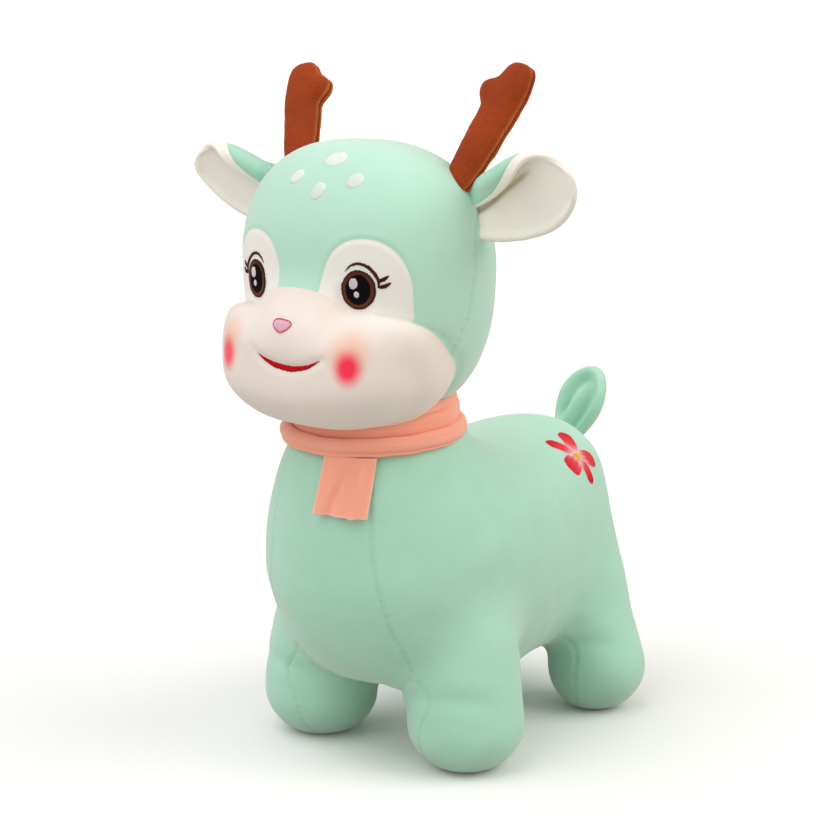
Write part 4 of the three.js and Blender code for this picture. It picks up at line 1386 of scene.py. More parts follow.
def make_flower():
    body = SKINS["body"]
    out = unit(FLOWER["out"])
    across = unit(np.cross((0, 1, 0), out))
    view = {"origin": FLOWER["centre"], "across": across, "up": np.cross(out, across), "out": out}
    for i, (turn, length, width, widest, deep) in enumerate(PETALS):
        sweep = petal_sweep(turn, length, width, widest)
        pad = (int(width * PETAL_THREADS_A_MM), 14, 0.9)
        satin(f"petal_pad_{i + 1}", body, view, sweep, pad, "Petal thread", (f"petal_{i + 1}",), 21 + i,
              tint=petal_tint(deep))
    eye = oval_sweep(5.6, 8.0, 0, 0, 20)
    satin("flower_eye_pad", body, view, eye, FLOWER_EYE_PAD, "Yellow thread", ("flower_eye",), 31)


# Antlers


ANTLER_GROOVE = {"depth": 0.9, "width": 0.7}
ANTLER_LIP = {"rise": 0.6, "away": 1.9, "width": 1.1}


def make_antlers():
    sizes = bpy.context.scene.fawn_sizes
    for name, side in SIDES.items():
        base = mirrored(ANTLER["base"], side)
        run = mirrored(ANTLER["run"], side) * ANTLER_REACH[name]
        axis = unit(run)
        tip = base + run
        inwards = np.array([-side, 0, 0], float)
        across = unit(inwards - inwards @ axis * axis)
        beam = tube_form(base - axis * ANTLER["root"], tip, inwards, ANTLER_SHARES,
                         ANTLER["width"], ANTLER["thickness"], ANTLER_ENDS)
        fork = base + run * PRONG["start"]
        turn = math.radians(PRONG["turn"])
        way = axis * math.cos(turn) + across * math.sin(turn)
        prong = tube_form(fork, fork + way * PRONG["length"], inwards, ANTLER_SHARES,
                          PRONG["width"], PRONG["width"] * 0.9, ANTLER_ENDS)
        points, faces = fused([beam, prong], sizes.small_voxel / MM)
        edges = edges_of(faces)
        points = evened(points, edges, 5)
        apart = np.maximum(distances(points, beam), distances(points, prong))
        junction = bell(apart, ANTLER_JUNCTION["reach"])
        points = relaxed(points, edges, junction, ANTLER_JUNCTION["rounds"])
        points, faces = finer(points, faces)
        normals = normals_of(points, faces)
        thin = np.cross(axis, across)
        off = (points - base) @ thin
        edge = np.clip(1.25 - np.abs(normals @ thin) * 1.6, 0, 1)
        groove = bell(off, ANTLER_GROOVE["width"]) * edge
        lip = bell(np.abs(off) - ANTLER_LIP["away"], ANTLER_LIP["width"]) * edge
        lumps = lumpy(points, ANTLER_LUMPS, side)
        points += normals * (lumps - ANTLER_GROOVE["depth"] * groove + ANTLER_LIP["rise"] * lip)[:, None]
        # Painted shade darkens the seam's groove, and a painted highlight lightens the raised lips beside it
        marks = {"seam": groove * 0.7, "rim": lip}
        piece = finished(f"antler_skin_{name}", points, faces, "Brown plush", (f"antler_{name}",), marks)
        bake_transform(piece)


# Ears and tail


def leaf(columns, rows, middle, front, back):
    """A closed padded leaf about a middle surface, whose two sides meet at its edge."""
    u = np.linspace(0, 1, columns + 1)
    v = np.linspace(0, 1, rows + 1)
    grid_u, grid_v = (g.ravel() for g in np.meshgrid(u, v, indexing="ij"))
    centre, out = middle(grid_u, grid_v)
    sides = [centre + out * front(grid_u, grid_v)[:, None], centre - out * back(grid_u, grid_v)[:, None]]
    base = len(centre)
    faces = []
    for a, b, c, d in grid_faces(columns + 1, rows + 1):
        faces.append((a, b, c, d))
        faces.append((base + d, base + c, base + b, base + a))
    on_back = np.repeat([0.0, 1.0], base)
    return np.vstack(sides), faces, np.tile(grid_u, 2), np.tile(grid_v, 2), on_back


def welded(points, faces, *values):
    """The same skin with coincident points joined and its faces outwards."""
    mesh = new_mesh("welded", points, faces)
    bm = bmesh.new()
    bm.from_mesh(mesh)
    layers = [bm.verts.layers.float.new(f"value_{i}") for i in range(len(values))]
    for vert in bm.verts:
        for layer, value in zip(layers, values):
            vert[layer] = value[vert.index]
    bmesh.ops.remove_doubles(bm, verts=bm.verts, dist=0.02)
    bmesh.ops.recalc_face_normals(bm, faces=bm.faces)
    kept = [np.array([vert[layer] for vert in bm.verts]) for layer in layers]
    bm.to_mesh(mesh)
    bm.free()
    return (*taken(mesh), *kept)


# Along the ear: how far its root lies in the head, how it closes to its tip, and where it bends
EAR_ROOT_INSIDE = 8.0
EAR_CLOSING = {"start": 0.58, "run": 0.42, "power": 2.3}

# Across the ear: its hollow, its padding in front and behind, its rim, and the lining's crease, which is
# pressed in and darkened with a painted shadow, and its seam
EAR_DISH = 1.6
EAR_EDGE = 2.4
EAR_FRONT = 1.4
EAR_BACK = {"edge": 1.7, "middle": 1.2, "reach": 14}
EAR_RIM = {"rise": 1.2, "away": 3.4, "width": 2.6}
EAR_CREASE = {"depth": 1.1, "above": 0.7, "width": 1.8, "turned": (2.5, 0.6)}
EAR_SEAM = {"depth": 0.35, "width": 1.0, "below": 0.9, "from_tip": 9}


def make_ears():
    for name, side in SIDES.items():
        tip = np.array(EAR_TIP[name], float)
        root = mirrored(EAR["root"], side) - np.array([0, 0, EAR_ROOT_DROP[name]])
        along = unit(tip - root)
        up_out = mirrored(EAR["up"], side)
        up_out = unit(up_out - up_out @ along * along)
        root_up = unit(mirrored(EAR["root_up"], side))
        length = EAR["length"]

        def section(u):
            """Rows of the ear at places along it, from 0 at the root to 1 at the tip."""
            place = np.sin(u * math.pi / 2) ** 1.15
            rows = row_curve(EAR_ROWS, place)
            past = np.clip(place - EAR_CLOSING["start"], 0, 1) / EAR_CLOSING["run"]
            closing = np.sqrt(np.maximum(0, 1 - past ** EAR_CLOSING["power"]))
            high = EAR_TIP_RISE + rows[:, 0] * closing
            low = EAR_TIP_RISE - rows[:, 1] * closing * (1 - EAR_TAPER[name] * place**3)
            turn = np.radians(np.maximum(rows[:, 3], 2))
            radius = np.minimum(rows[:, 2], 0.4 * (high - low) + 0.05)
            hang = rows[:, 4] * closing
            flat = np.maximum(0, high - low - radius * np.sin(np.minimum(turn, math.pi / 2)))
            return place, low, flat, radius, turn, hang, rows[:, 5]

        def middle(u, v):
            place, low, flat, radius, turn, hang, _ = section(u)
            total = flat + radius * turn + hang
            s = v * total
            angle = np.clip((s - flat) / radius, 0, turn)
            past = np.maximum(0, s - flat - radius * turn)
            height = low + np.minimum(s, flat) + radius * np.sin(angle) + past * np.cos(turn)
            forwards = radius * (1 - np.cos(angle)) + past * np.sin(turn)
            reach = -EAR_ROOT_INSIDE + place * (length + EAR_ROOT_INSIDE)
            mix = ramp(reach, 0, 26)[:, None]
            up = root_up * (1 - mix) + up_out * mix
            up -= (up @ along)[:, None] * along
            up /= np.linalg.norm(up, axis=1)[:, None]
            face = np.cross(along, up) * side
            out = face * np.cos(angle)[:, None] - up * np.sin(angle)[:, None]
            hollow = np.sin(math.pi * np.clip(s / (flat + 1), 0, 1))
            dish = -EAR_DISH * hollow * np.sin(math.pi * np.clip(place, 0, 1))
            centre = root + along * reach[:, None] + up * height[:, None] + face * (forwards + dish)[:, None]
            return centre, out

        def gaps(u, v):
            """Distances to the leaf's lower edge, upper edge and tip."""
            place, _, flat, radius, turn, hang, _ = section(u)
            total = flat + radius * turn + hang
            return v * total, (1 - v) * total, (1.0 - place) * length

        def front(u, v):
            edge = np.minimum.reduce(gaps(u, v))
            rim = EAR_RIM["rise"] * bell(edge - EAR_RIM["away"], EAR_RIM["width"])
            return round_edge(edge, EAR_EDGE) * (EAR_FRONT + rim)

        def back(u, v):
            edge = np.minimum.reduce(gaps(u, v))
            padding = EAR_BACK["edge"] + EAR_BACK["middle"] * ramp(edge, 0, EAR_BACK["reach"])
            return round_edge(edge, EAR_EDGE) * padding

        points, faces, u, v, on_back = leaf(84, 84, middle, front, back)
        below, above, from_tip = gaps(u, v)
        _, _, flat, _, turn, hang, cream_width = section(u)
        value = np.minimum(above - cream_width, from_tip - EAR_SEAM["from_tip"])
        value = np.minimum(value, below - EAR_SEAM["below"])
        value = np.where(on_back > 0.5, value, -1.0)
        # The crease under the rolled edge is pressed into the lining, and the same mask paints a shadow there
        crease = bell(below - flat + hang + EAR_CREASE["above"], EAR_CREASE["width"])
        crease *= ramp(turn, *EAR_CREASE["turned"])
        crease = np.where(on_back > 0.5, 0.0, crease)
        points, faces, value, crease = welded(points, faces, value, crease)
        normals = normals_of(points, faces)
        seam = bell(value, EAR_SEAM["width"])
        points = points - normals * (EAR_SEAM["depth"] * seam + EAR_CREASE["depth"] * crease)[:, None]
        nearest = nearest_of(points)
        lining, ear_back = divided(points, faces, value)
        for layer, skin, finish in (
            ("ear_lining", lining, "Ear cream plush"),
            ("ear_back", ear_back, "Mint plush"),
        ):
            wall = shell(*skin, EAR_CLOTH)
            # On the lining the rim mark is the painted shadow in the crease under the rolled edge
            marks = {"seam": np.zeros(len(wall[0])), "rim": crease[nearest(wall[0])]}
            piece = finished(f"{layer}_skin_{name}", *wall, finish, (f"{layer}_{name}",), marks)
            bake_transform(piece)


# The tail: where it bends, how it closes to its tip, and the forms of its front
TAIL_CLOSING = {"start": 0.52, "run": 0.48}
TAIL_RIM = {"rise": 3.2, "away": 3.6, "width": 2.6}
TAIL_GROOVE = {"depth": 3.4, "away": 8.2, "width": 2.2}
TAIL_FOLD = {"rise": 5.2, "aside": 8.5, "slant": 11.0, "width": 4.6}
TAIL_VALLEY = {"depth": 4.4, "away": 9.0, "width": 3.2}
TAIL_PADDING = {"least": 0.4, "front": 4.2, "back": 6.0}


def make_tail():
    base = np.array(TAIL["base"], float)
    run = np.array(TAIL["run"], float)
    length = np.linalg.norm(run)
    axis = unit(run)
    across = np.array([1.0, 0, 0])
    forwards = np.cross(axis, across)
    forwards *= -np.sign(forwards[1])

    def spaced(u):
        return np.sin(u * math.pi / 2) ** 1.1

    def closed_at(s):
        return np.clip(s - TAIL_CLOSING["start"], 0, 1) / TAIL_CLOSING["run"]

    def width_at(s):
        growing = row_curve([(share,) for share in TAIL_WIDTH_SHARES], ramp(s, 0, 0.6))[:, 0]
        closing = np.sqrt(np.maximum(0, 1 - closed_at(s) ** 2.0))
        return TAIL["width"] * growing * closing

    def middle(u, v):
        s = spaced(u)
        sway = TAIL["shift"] * np.sin(math.pi * np.clip(s, 0, 1) ** 1.1) ** 1.2
        aside = (v - 0.5) * width_at(s) + sway + 1.5 * s
        cup = 7.0 * ((2 * v - 1) * width_at(s) / TAIL["width"]) ** 2 * np.clip(s * 1.5, 0, 1)
        reach = -TAIL["root"] + s * (length + TAIL["root"])
        ahead = cup - 5.0 * s**2
        centre = base + axis * reach[:, None] + across * aside[:, None] + forwards * ahead[:, None]
        return centre, np.repeat(forwards[None, :], len(u), axis=0)

    def gap(u, v):
        """Distance to the rim, whose lines round the tip are ovals like the outline."""
        s = spaced(u)
        closed = closed_at(s)
        half = width_at(s) / 2 / np.sqrt(np.maximum(1e-6, 1 - closed**2))
        aside = np.abs(v - 0.5) * width_at(s)
        return (1 - np.hypot(closed, aside / half)) * half

    def front(u, v):
        s = spaced(u)
        edge = gap(u, v)
        aside = (v - 0.5) * width_at(s)
        rim = TAIL_RIM["rise"] * bell(edge - TAIL_RIM["away"], TAIL_RIM["width"])
        rim *= np.clip((s - 0.15) * 4, 0, 1)
        groove = -TAIL_GROOVE["depth"] * bell(edge - TAIL_GROOVE["away"], TAIL_GROOVE["width"])
        groove *= np.clip((s - 0.25) * 4, 0, 1) * (1 - 0.6 * ramp(aside, 0, 6))
        from_fold = aside + TAIL_FOLD["aside"] - TAIL_FOLD["slant"] * s
        fold = TAIL_FOLD["rise"] * bell(from_fold, TAIL_FOLD["width"])
        fold *= np.clip((0.86 - s) * 3.5, 0, 1)
        valley = -TAIL_VALLEY["depth"] * bell(from_fold - TAIL_VALLEY["away"], TAIL_VALLEY["width"])
        valley *= np.clip((0.76 - s) * 3, 0, 1)
        padding = np.maximum(TAIL_PADDING["least"], TAIL_PADDING["front"] + rim + groove + fold + valley)
        return round_edge(edge, 3.0) * padding

    def back(u, v):
        return round_edge(gap(u, v), 6.0) * TAIL_PADDING["back"]

    points, faces, *_ = leaf(96, 80, middle, front, back)
    points, faces = welded(points, faces)
    plain = {"seam": np.zeros(len(points))}
    piece = finished("tail_skin", points, faces, "Shaded tail mint plush", ("tail",), plain)
    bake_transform(piece)


# Scarf


# How far the middle of a band's section lies inside its reach
BAND_INSET = 6.5
CREASE_SHARE = 0.03

# How unevenly a band lies: its reach, its height and each fold along it
BAND_SWELL = 0.7
BAND_SAG = 0.8
BAND_RIPPLE = 0.35

# The hanging end: its taper and drift sideways, and its valley, ridge and turned edges
END_TAPER = 0.1
END_DRIFT = 4.5
END_VALLEY = {"depth": 3.0, "at": 0.52, "slant": 0.24, "width": 0.1}
END_RIDGE = {"rise": 3.2, "at": 0.74, "width": 0.075}
END_CURL = {"rise": 0.8, "start": 0.75, "run": 0.25}
END_OFF_BODY = {"top": 0.8, "bottom": 1.8}


def wrap(name, node, spec, section, creases, seed):
    """A folded strip of cloth round the neck. The section gives reach outwards and up.

    A crease has its share of the section, depth, wander up and down, and where round the neck it is deepest.
    """
    across = row_curve(section, np.linspace(0, 1, 57))
    turns = np.linspace(0, 2 * math.pi, 240, endpoint=False)
    radius = NECK["radius"] + spec["reach"] - BAND_INSET
    tilt = math.radians(SCARF_TILT)
    rows = []
    for turn in turns:
        way = np.array([math.sin(turn), -math.cos(turn), 0])
        ring = Vector((math.cos(turn) * 2.2 + seed, math.sin(turn) * 2.2, 0))
        swell = BAND_SWELL * noise.noise(ring)
        sag = BAND_SAG * noise.noise(ring * 1.7 + Vector((0, 0, 4)))
        row = []
        for i, (out, up) in enumerate(across):
            fold = BAND_RIPPLE * noise.noise(Vector((turn * 2.5, i / 9, seed)))
            for share, depth, wander, deepest in creases:
                off = i / (len(across) - 1) - share - wander * math.sin(turn - deepest)
                fold -= depth * (0.6 + 0.4 * math.cos(turn - deepest)) * bell(off, CREASE_SHARE)
            reach = radius + out + swell + fold + spec["nape"] * max(0, 0.3 - math.cos(turn)) / 1.3
            row.append(way * reach + np.array([0, 0, up + sag]))
        rows.append(row)
    lean = np.array([[1, 0, 0], [0, math.cos(tilt), -math.sin(tilt)], [0, math.sin(tilt), math.cos(tilt)]])
    grid = np.array(rows) @ lean.T + np.array([0, NECK["y"], NECK["top"] - spec["drop"]])
    lines = len(across)
    faces = [(a, d, c, b) for a, b, c, d in grid_faces(len(turns), lines, True)]
    points = grid.reshape(-1, 3)
    wall = welded(*shell(points, faces, WRAP_CLOTH))
    plain = np.zeros(len(wall[0]))
    piece = finished(name, *wall, "Scarf cloth", (node,), {"seam": plain, "rim": plain})
    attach(piece, "fawn")


LOWER_SECTION = (
    (-5.0, -1.0), (-3.4, 2.4), (-0.6, 4.6), (2.4, 5.4), (4.9, 4.0), (6.1, 1.2), (6.2, -1.6), (5.5, -4.4),
    (3.6, -6.1), (0.0, -6.4), (-4.0, -5.2), (-5.4, -3.2),
)
UPPER_SECTION = (
    (-3.4, -9.0), (-3.6, -3.0), (-3.0, 3.0), (-1.0, 6.4), (2.2, 6.4), (4.4, 3.6), (5.4, 0.0), (5.9, -4.0),
    (5.4, -9.0), (3.4, -12.6),
)
LOWER_CREASES = ((0.62, 1.7, 0.03, 1.2), (0.4, 0.8, -0.04, 3.6))
UPPER_CREASES = ((0.5, 2.0, 0.03, 0.6), (0.66, 2.0, -0.05, 1.4))


def end_sheet(columns, rows, radius, top):
    """Points of the hanging end, with a valley and a ridge that run down it."""
    turn = math.radians(SCARF_END["turn"])
    lean = math.radians(SCARF_END["lean"])
    points = []
    for i in range(columns + 1):
        u = i / columns
        for j in range(rows + 1):
            v = j / rows
            wide = SCARF_END["width"] * (1 - END_TAPER * v)
            drop = v * SCARF_END["length"]
            angle = turn + ((u - 0.5) * wide - END_DRIFT * v) / radius
            in_valley = bell(u - END_VALLEY["at"] + END_VALLEY["slant"] * v, END_VALLEY["width"])
            valley = -END_VALLEY["depth"] * in_valley * min(1, v * 1.6)
            ridge = END_RIDGE["rise"] * bell(u - END_RIDGE["at"], END_RIDGE["width"]) * min(1, v * 2.5)
            curl = END_CURL["rise"] * max(0, abs(2 * u - 1) - END_CURL["start"]) / END_CURL["run"]
            off_body = END_OFF_BODY["top"] + END_OFF_BODY["bottom"] * v
            reach = radius + drop * math.sin(lean) + valley + ridge + curl * v + off_body
            down = drop * math.cos(lean) + 1.2 * v * u
            points.append((reach * math.sin(angle), NECK["y"] - reach * math.cos(angle), top + 0.8 - down))
    return np.array(points)


def make_scarf_end():
    turn = math.radians(SCARF_END["turn"])
    radius = NECK["radius"] + LOWER_WRAP["reach"] - SCARF_END["inset"]
    below_band = LOWER_WRAP["drop"] + LOWER_WRAP["height"] / 2
    top = NECK["top"] - below_band - radius * math.cos(turn) * math.tan(math.radians(SCARF_TILT))
    columns, rows = 44, 48
    points = end_sheet(columns, rows, radius, top)
    faces = [(a, d, c, b) for a, b, c, d in grid_faces(columns + 1, rows + 1)]
    wall = shell(points, faces, END_CLOTH)
    width, length = SCARF_END["width"], SCARF_END["length"]
    across, down = np.meshgrid(np.linspace(0, 1, columns + 1), np.linspace(0, 1, rows + 1), indexing="ij")
    edge = np.minimum(np.minimum(across, 1 - across) * width, (1 - down) * length).ravel()
    marks = {"rim": np.tile(bell(edge, 0.7), 2)[: len(wall[0])], "seam": np.zeros(len(wall[0]))}
    piece = finished("scarf_end_cloth", *wall, "Scarf cloth", ("scarf_end",), marks)
    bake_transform(piece)


def make_scarf():
    wrap("scarf_lower_band", "scarf_lower_wrap", LOWER_WRAP, LOWER_SECTION, LOWER_CREASES, 3.0)
    wrap("scarf_upper_band", "scarf_upper_wrap", UPPER_WRAP, UPPER_SECTION, UPPER_CREASES, 8.0)
    make_scarf_end()


# Stitches along the seams, made with Geometry Nodes


def stitch_tree():
    """Lays short stitches along a line, with a little slack in each."""
    shape = "NodeSocketGeometry"
    inputs = (
        (shape, "Geometry", None),
        (FLOAT, "Spacing", 0.0034),
        (FLOAT, "Length", 0.0023),
        (FLOAT, "Thickness", 0.0005),
        ("NodeSocketInt", "Seed", 4),
        ("NodeSocketMaterial", "Material", None),
    )
    tree, given, result = new_group("Seam stitches", inputs, ((shape, "Geometry"),), "GeometryNodeTree")
    curve = added(tree, "GeometryNodeMeshToCurve", Mesh=given["Geometry"]).outputs[0]
    spaced = tree.nodes.new("GeometryNodeResampleCurve")
    spaced.mode = "LENGTH"
    wire(tree, spaced, Curve=curve, Length=given["Spacing"])
    ball = added(tree, "GeometryNodeMeshUVSphere", Segments=8, Rings=6, Radius=0.5)
    slack = tree.nodes.new("FunctionNodeRandomValue")
    slack.data_type = "FLOAT"
    slack.inputs[2].default_value = 0.82
    slack.inputs[3].default_value = 1.1
    wire(tree, slack, Seed=given["Seed"])
    long = times(tree, given["Length"], slack.outputs[1])
    size = added(tree, "ShaderNodeCombineXYZ", X=given["Thickness"], Y=given["Thickness"], Z=long)
    align = tree.nodes.new("FunctionNodeAlignRotationToVector")
    align.axis = "Z"
    wire(tree, align, Vector=tree.nodes.new("GeometryNodeInputTangent").outputs[0])
    copies = added(tree, "GeometryNodeInstanceOnPoints", Points=spaced.outputs[0], Instance=ball.outputs[0])
    wire(tree, copies, Rotation=align.outputs[0], Scale=size.outputs[0])
    real = added(tree, "GeometryNodeRealizeInstances", Geometry=copies.outputs[0]).outputs[0]
    paint = added(tree, "GeometryNodeSetMaterial", Geometry=real, Material=given["Material"])
    wire(tree, result, Geometry=paint.outputs[0])
    return tree


def make_seam_stitches():
    sizes = bpy.context.scene.fawn_sizes
    finish = "Mint thread"
    tree = stitch_tree()
    verts, edges = [], []
    for line in SEAMS:
        first = len(verts)
        verts += [tuple(p) for p in to_frame(line)]
        edges += [(i, i + 1) for i in range(first, len(verts) - 1)]
    mesh = bpy.data.meshes.new("seam lines")
    mesh.from_pydata(verts, edges, [])
    lines = bpy.data.objects.new("seam_lines", mesh)
    bpy.context.scene.collection.objects.link(lines)
    modifier = lines.modifiers.new("Stitches", "NODES")
    modifier.node_group = tree
    wanted = {
        "Spacing": sizes.stitch_spacing,
        "Length": sizes.stitch_length,
        "Thickness": sizes.stitch_thickness,
        "Seed": 4,
        "Material": finish_material(finish),
    }
    for item in tree.interface.items_tree:
        if item.in_out == "INPUT" and item.name in wanted:
            modifier[item.identifier] = wanted[item.name]
    graph = bpy.context.evaluated_depsgraph_get()
    result = bpy.data.meshes.new_from_object(lines.evaluated_get(graph))
    bpy.data.objects.remove(lines)
    result.name = "seam_stitches"
    result.polygons.foreach_set("use_smooth", [True] * len(result.polygons))
    piece = bpy.data.objects.new("seam_stitches", result)
    bpy.context.scene.collection.objects.link(piece)
    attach(piece, "fawn")


# Floor, light and camera

FLOOR_REACH = 40.0
FLOOR_COLOUR = (0.46, 0.45, 0.42, 1)
FLOOR_SEEN = (0.96, 0.96, 0.96, 1)
SKY_COLOUR = (1.03, 1.0, 0.965, 1.0)
SKY_STRENGTH = 0.55
CAMERA = {"lens": 98.2, "place": (0.8774, -1.1874, 0.522), "tilt": 78.36, "turn": 37.44}

# Lamps: direction that each shines from, strength, spread in degrees and colour
LAMPS = {
    "key": ((-0.3, -0.5, 1.0), 1.25, 60, (1.0, 1.0, 1.0)),
    "front_fill": ((-0.2, -1.0, 0.1), 0.6, 60, (1.0, 0.98, 0.97)),
    "side_light": ((0.8, 0.35, 0.7), 1.15, 50, (1.0, 0.98, 0.92)),
    "warm_fill": ((1.0, -0.3, 0.05), 0.3, 50, (1.0, 0.82, 0.5)),
}


def seen_or_lit(tree, lit, seen, output):
    """One shader for light that falls on things, and a white one where the camera or a gloss looks at it."""
    path = tree.nodes.new("ShaderNodeLightPath")
    straight = maths(tree, "MAXIMUM", path.outputs["Is Camera Ray"], path.outputs["Is Glossy Ray"])
    mix = tree.nodes.new("ShaderNodeMixShader")
    feed(tree, mix.inputs[0], maths(tree, "MAXIMUM", straight, path.outputs["Is Transmission Ray"]))
    feed(tree, mix.inputs[1], lit.outputs[0])
    feed(tree, mix.inputs[2], seen.outputs[0])
    feed(tree, tree.nodes[output].inputs[0], mix.outputs[0])


def make_world(scene):
    world = bpy.data.worlds.new("Studio")
    world.use_nodes = True
    scene.world = world
    tree = world.node_tree
    soft = wire(tree, tree.nodes["Background"], Color=SKY_COLOUR, Strength=SKY_STRENGTH)
    white = added(tree, "ShaderNodeBackground", Color=(1, 1, 1, 1), Strength=1.0)
    seen_or_lit(tree, soft, white, "World Output")


def make_floor(scene):
    mesh = bpy.data.meshes.new("floor")
    corners = [(x * FLOOR_REACH, y * FLOOR_REACH, 0) for x, y in ((-1, -1), (1, -1), (1, 1), (-1, 1))]
    mesh.from_pydata(corners, [], [(0, 1, 2, 3)])
    floor = bpy.data.objects.new("floor", mesh)
    scene.collection.objects.link(floor)
    material, tree, shader = new_material("Pale floor")
    wire(tree, shader, Base_Color=FLOOR_SEEN, Roughness=0.9, Specular_IOR_Level=0.1)
    dull = added(tree, "ShaderNodeBsdfDiffuse", Color=FLOOR_COLOUR)
    seen_or_lit(tree, dull, shader, "Material Output")
    mesh.materials.append(material)


def make_stage():
    scene = bpy.context.scene
    scene.view_settings.view_transform = "Standard"
    make_world(scene)
    make_floor(scene)
    for name, (direction, strength, spread, colour) in LAMPS.items():
        lamp = bpy.data.lights.new(name, "SUN")
        lamp.energy = strength
        lamp.angle = math.radians(spread)
        lamp.color = colour
        light = bpy.data.objects.new(name, lamp)
        light.rotation_euler = Vector(direction).to_track_quat("Z", "Y").to_euler()
        scene.collection.objects.link(light)

    camera = bpy.data.objects.new("camera", bpy.data.cameras.new("camera"))
    camera.data.sensor_width = 36
    camera.data.lens = CAMERA["lens"]
    camera.data.clip_end = 200
    camera.location = CAMERA["place"]
    camera.rotation_euler = (math.radians(CAMERA["tilt"]), 0, math.radians(CAMERA["turn"]))
    scene.collection.objects.link(camera)
    scene.camera = camera


# Add-on parts


SHORTEST = 0.0001


def length_property(name, description, default):
    return bpy.props.FloatProperty(
        name=name, description=description, default=default, min=SHORTEST, precision=4,
        subtype="DISTANCE", unit="LENGTH",
    )


def colour_property(name, description, colour):
    return bpy.props.FloatVectorProperty(
        name=name, description=description, default=srgb(*colour), min=0, max=1, size=3, subtype="COLOR"
    )


class FawnSizes(bpy.types.PropertyGroup):
    """Sizes of the cloth and the stitches"""

    body_voxel: length_property("Body cells", "Cell size of the body's skin", 0.0036)
    head_voxel: length_property("Head cells", "Cell size of the head's skin", 0.0027)
    small_voxel: length_property("Antler cells", "Cell size of an antler's skin", 0.0014)
    cloth: length_property("Cloth", "Thickness of the plush", 0.0016)
    stitch_spacing: length_property("Stitch spacing", "From one seam stitch to the next", 0.0036)
    stitch_length: length_property("Stitch length", "Length of a seam stitch", 0.0024)
    stitch_thickness: length_property("Stitch thickness", "Thickness of the seam thread", 0.0005)


class FawnColours(bpy.types.PropertyGroup):
    """Colours of the cloth"""

    mint: colour_property("Mint", "Plush of the body, legs and ear backs", (175, 224, 203))
    # Painted light: a lighter copy of the body's mint, for the brighter light on the head
    head_mint: colour_property("Head mint", "Plush of the head", (187, 229, 212))
    # Also the painted shade in the seams of the body and legs
    mint_shade: colour_property("Mint shade", "Its brushed and worn places", (156, 210, 184))
    # Painted shade: a darker copy of the body's mint for the tail
    shaded_tail_mint: colour_property("Tail mint", "Plush of the tail", (170, 218, 197))
    cream: colour_property("Cream", "Plush of the muzzle", (241, 232, 226))
    patch_cream: colour_property("Patch cream", "Plush of the eye patches", (239, 240, 236))
    # Painted light: a lighter copy of the cream for the ear linings, which face away from the lamps
    ear_cream: colour_property("Ear cream", "Plush of the ear linings", (255, 250, 240))
    # Painted shadow in the crease of the lining under the ears' rolled edge
    ear_fold_shadow: colour_property("Ear fold", "The lining under the ears' rolled edge", (204, 194, 150))
    # Also the painted shade along the muzzle's seams
    cream_shade: colour_property("Cream shade", "Its brushed and worn places", (238, 218, 204))
    brown: colour_property("Brown", "Plush of the antlers", (177, 73, 28))
    # Also the painted shade in the antlers' seam
    brown_shade: colour_property("Brown shade", "Its brushed and worn places", (116, 40, 10))
    # Painted highlight on the raised lips beside the antlers' seam
    brown_rim_highlight: colour_property("Brown rim", "The raised edges beside the antlers' seam", (226, 130, 70))
    scarf: colour_property("Scarf", "Cloth of the scarf", (255, 176, 152))
    scarf_shade: colour_property("Scarf shade", "Its brushed and worn places", (246, 158, 132))
    scarf_edge: colour_property("Scarf edge", "Its cut edges", (255, 220, 202))
    blush: colour_property("Blush", "Middle of the cheeks", (255, 44, 82))
    blush_haze: colour_property("Blush haze", "Soft colour round the cheeks", (246, 186, 158))


class FawnOperator:
    bl_options = {"REGISTER", "UNDO"}

    def execute(self, context):
        self.make()
        return {"FINISHED"}


class FAWN_OT_body(FawnOperator, bpy.types.Operator):
    """Make the skin of the body and legs, with its seams and folds"""

    bl_idname = "fawn.body"
    bl_label = "Body and legs"
    make = staticmethod(make_body)


class FAWN_OT_head(FawnOperator, bpy.types.Operator):
    """Make the head, the eye patches and the muzzle"""

    bl_idname = "fawn.head"
    bl_label = "Head and muzzle"
    make = staticmethod(make_head)


class FAWN_OT_eyes(FawnOperator, bpy.types.Operator):
    """Embroider the eyes, lids and lashes"""

    bl_idname = "fawn.eyes"
    bl_label = "Eyes"
    make = staticmethod(make_eyes)


class FAWN_OT_face(FawnOperator, bpy.types.Operator):
    """Embroider the spots, the nose and the smile"""

    bl_idname = "fawn.face"
    bl_label = "Spots, nose and smile"
    make = staticmethod(make_face_stitching)


class FAWN_OT_flower(FawnOperator, bpy.types.Operator):
    """Embroider the flower on the rump"""

    bl_idname = "fawn.flower"
    bl_label = "Flower"
    make = staticmethod(make_flower)


class FAWN_OT_antlers(FawnOperator, bpy.types.Operator):
    """Make the padded antlers"""

    bl_idname = "fawn.antlers"
    bl_label = "Antlers"
    make = staticmethod(make_antlers)


class FAWN_OT_ears(FawnOperator, bpy.types.Operator):
    """Make the ears and their linings"""

    bl_idname = "fawn.ears"
    bl_label = "Ears"
    make = staticmethod(make_ears)


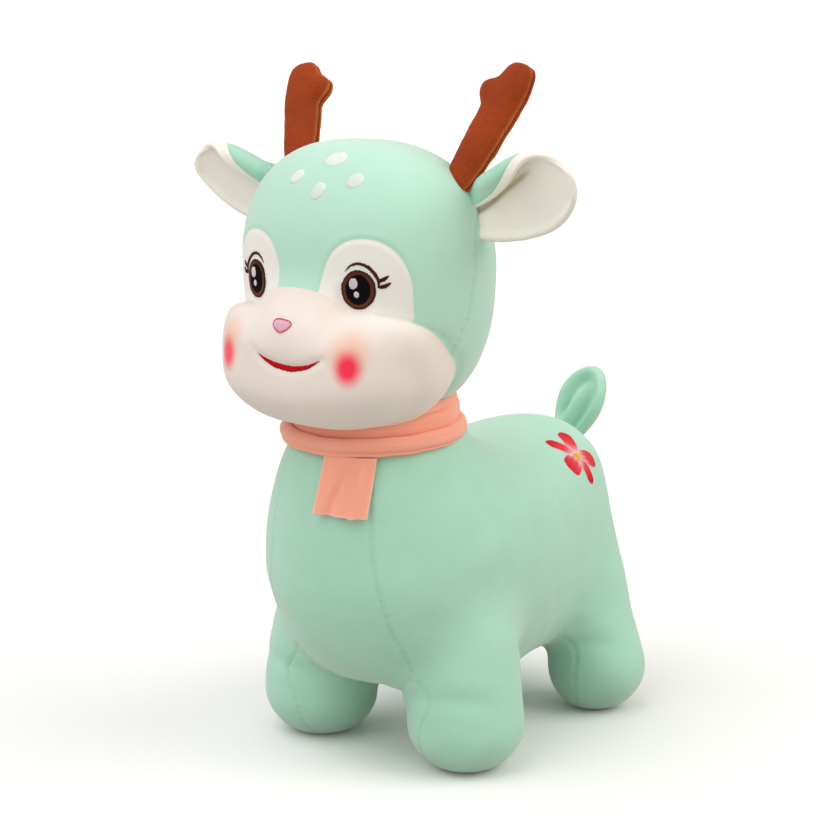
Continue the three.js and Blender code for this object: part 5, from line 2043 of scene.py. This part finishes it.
class FAWN_OT_tail(FawnOperator, bpy.types.Operator):
    """Make the folded tail"""

    bl_idname = "fawn.tail"
    bl_label = "Tail"
    make = staticmethod(make_tail)


class FAWN_OT_scarf(FawnOperator, bpy.types.Operator):
    """Wrap the scarf round the neck and hang its end"""

    bl_idname = "fawn.scarf"
    bl_label = "Scarf"
    make = staticmethod(make_scarf)


class FAWN_OT_stitches(FawnOperator, bpy.types.Operator):
    """Lay stitches along the seams"""

    bl_idname = "fawn.stitches"
    bl_label = "Seam stitches"
    make = staticmethod(make_seam_stitches)


class FAWN_OT_stage(FawnOperator, bpy.types.Operator):
    """Set up the floor, the light and the camera"""

    bl_idname = "fawn.stage"
    bl_label = "Stage"
    make = staticmethod(make_stage)


OPERATORS = (
    FAWN_OT_stage, FAWN_OT_body, FAWN_OT_head, FAWN_OT_eyes, FAWN_OT_face, FAWN_OT_flower,
    FAWN_OT_antlers, FAWN_OT_ears, FAWN_OT_tail, FAWN_OT_scarf, FAWN_OT_stitches,
)


class FAWN_PT_panel(bpy.types.Panel):
    """The fawn's pieces, sizes and colours"""

    bl_idname = "FAWN_PT_panel"
    bl_label = "Plush fawn"
    bl_space_type = "VIEW_3D"
    bl_region_type = "UI"
    bl_category = "Fawn"

    def draw(self, context):
        for operator in OPERATORS:
            self.layout.operator(operator.bl_idname)
        for group in (context.scene.fawn_sizes, context.scene.fawn_colours):
            for key in group.bl_rna.properties.keys():
                if key not in {"rna_type", "name"}:
                    self.layout.prop(group, key)


CLASSES = (FawnSizes, FawnColours, *OPERATORS, FAWN_PT_panel)


def register():
    for each in CLASSES:
        bpy.utils.register_class(each)
    bpy.types.Scene.fawn_sizes = bpy.props.PointerProperty(type=FawnSizes)
    bpy.types.Scene.fawn_colours = bpy.props.PointerProperty(type=FawnColours)


def unregister():
    del bpy.types.Scene.fawn_colours
    del bpy.types.Scene.fawn_sizes
    for each in reversed(CLASSES):
        bpy.utils.unregister_class(each)


def main():
    register()
    for operator in OPERATORS:
        group, name = operator.bl_idname.split(".")
        getattr(getattr(bpy.ops, group), name)()


if __name__ == "__main__":
    main()
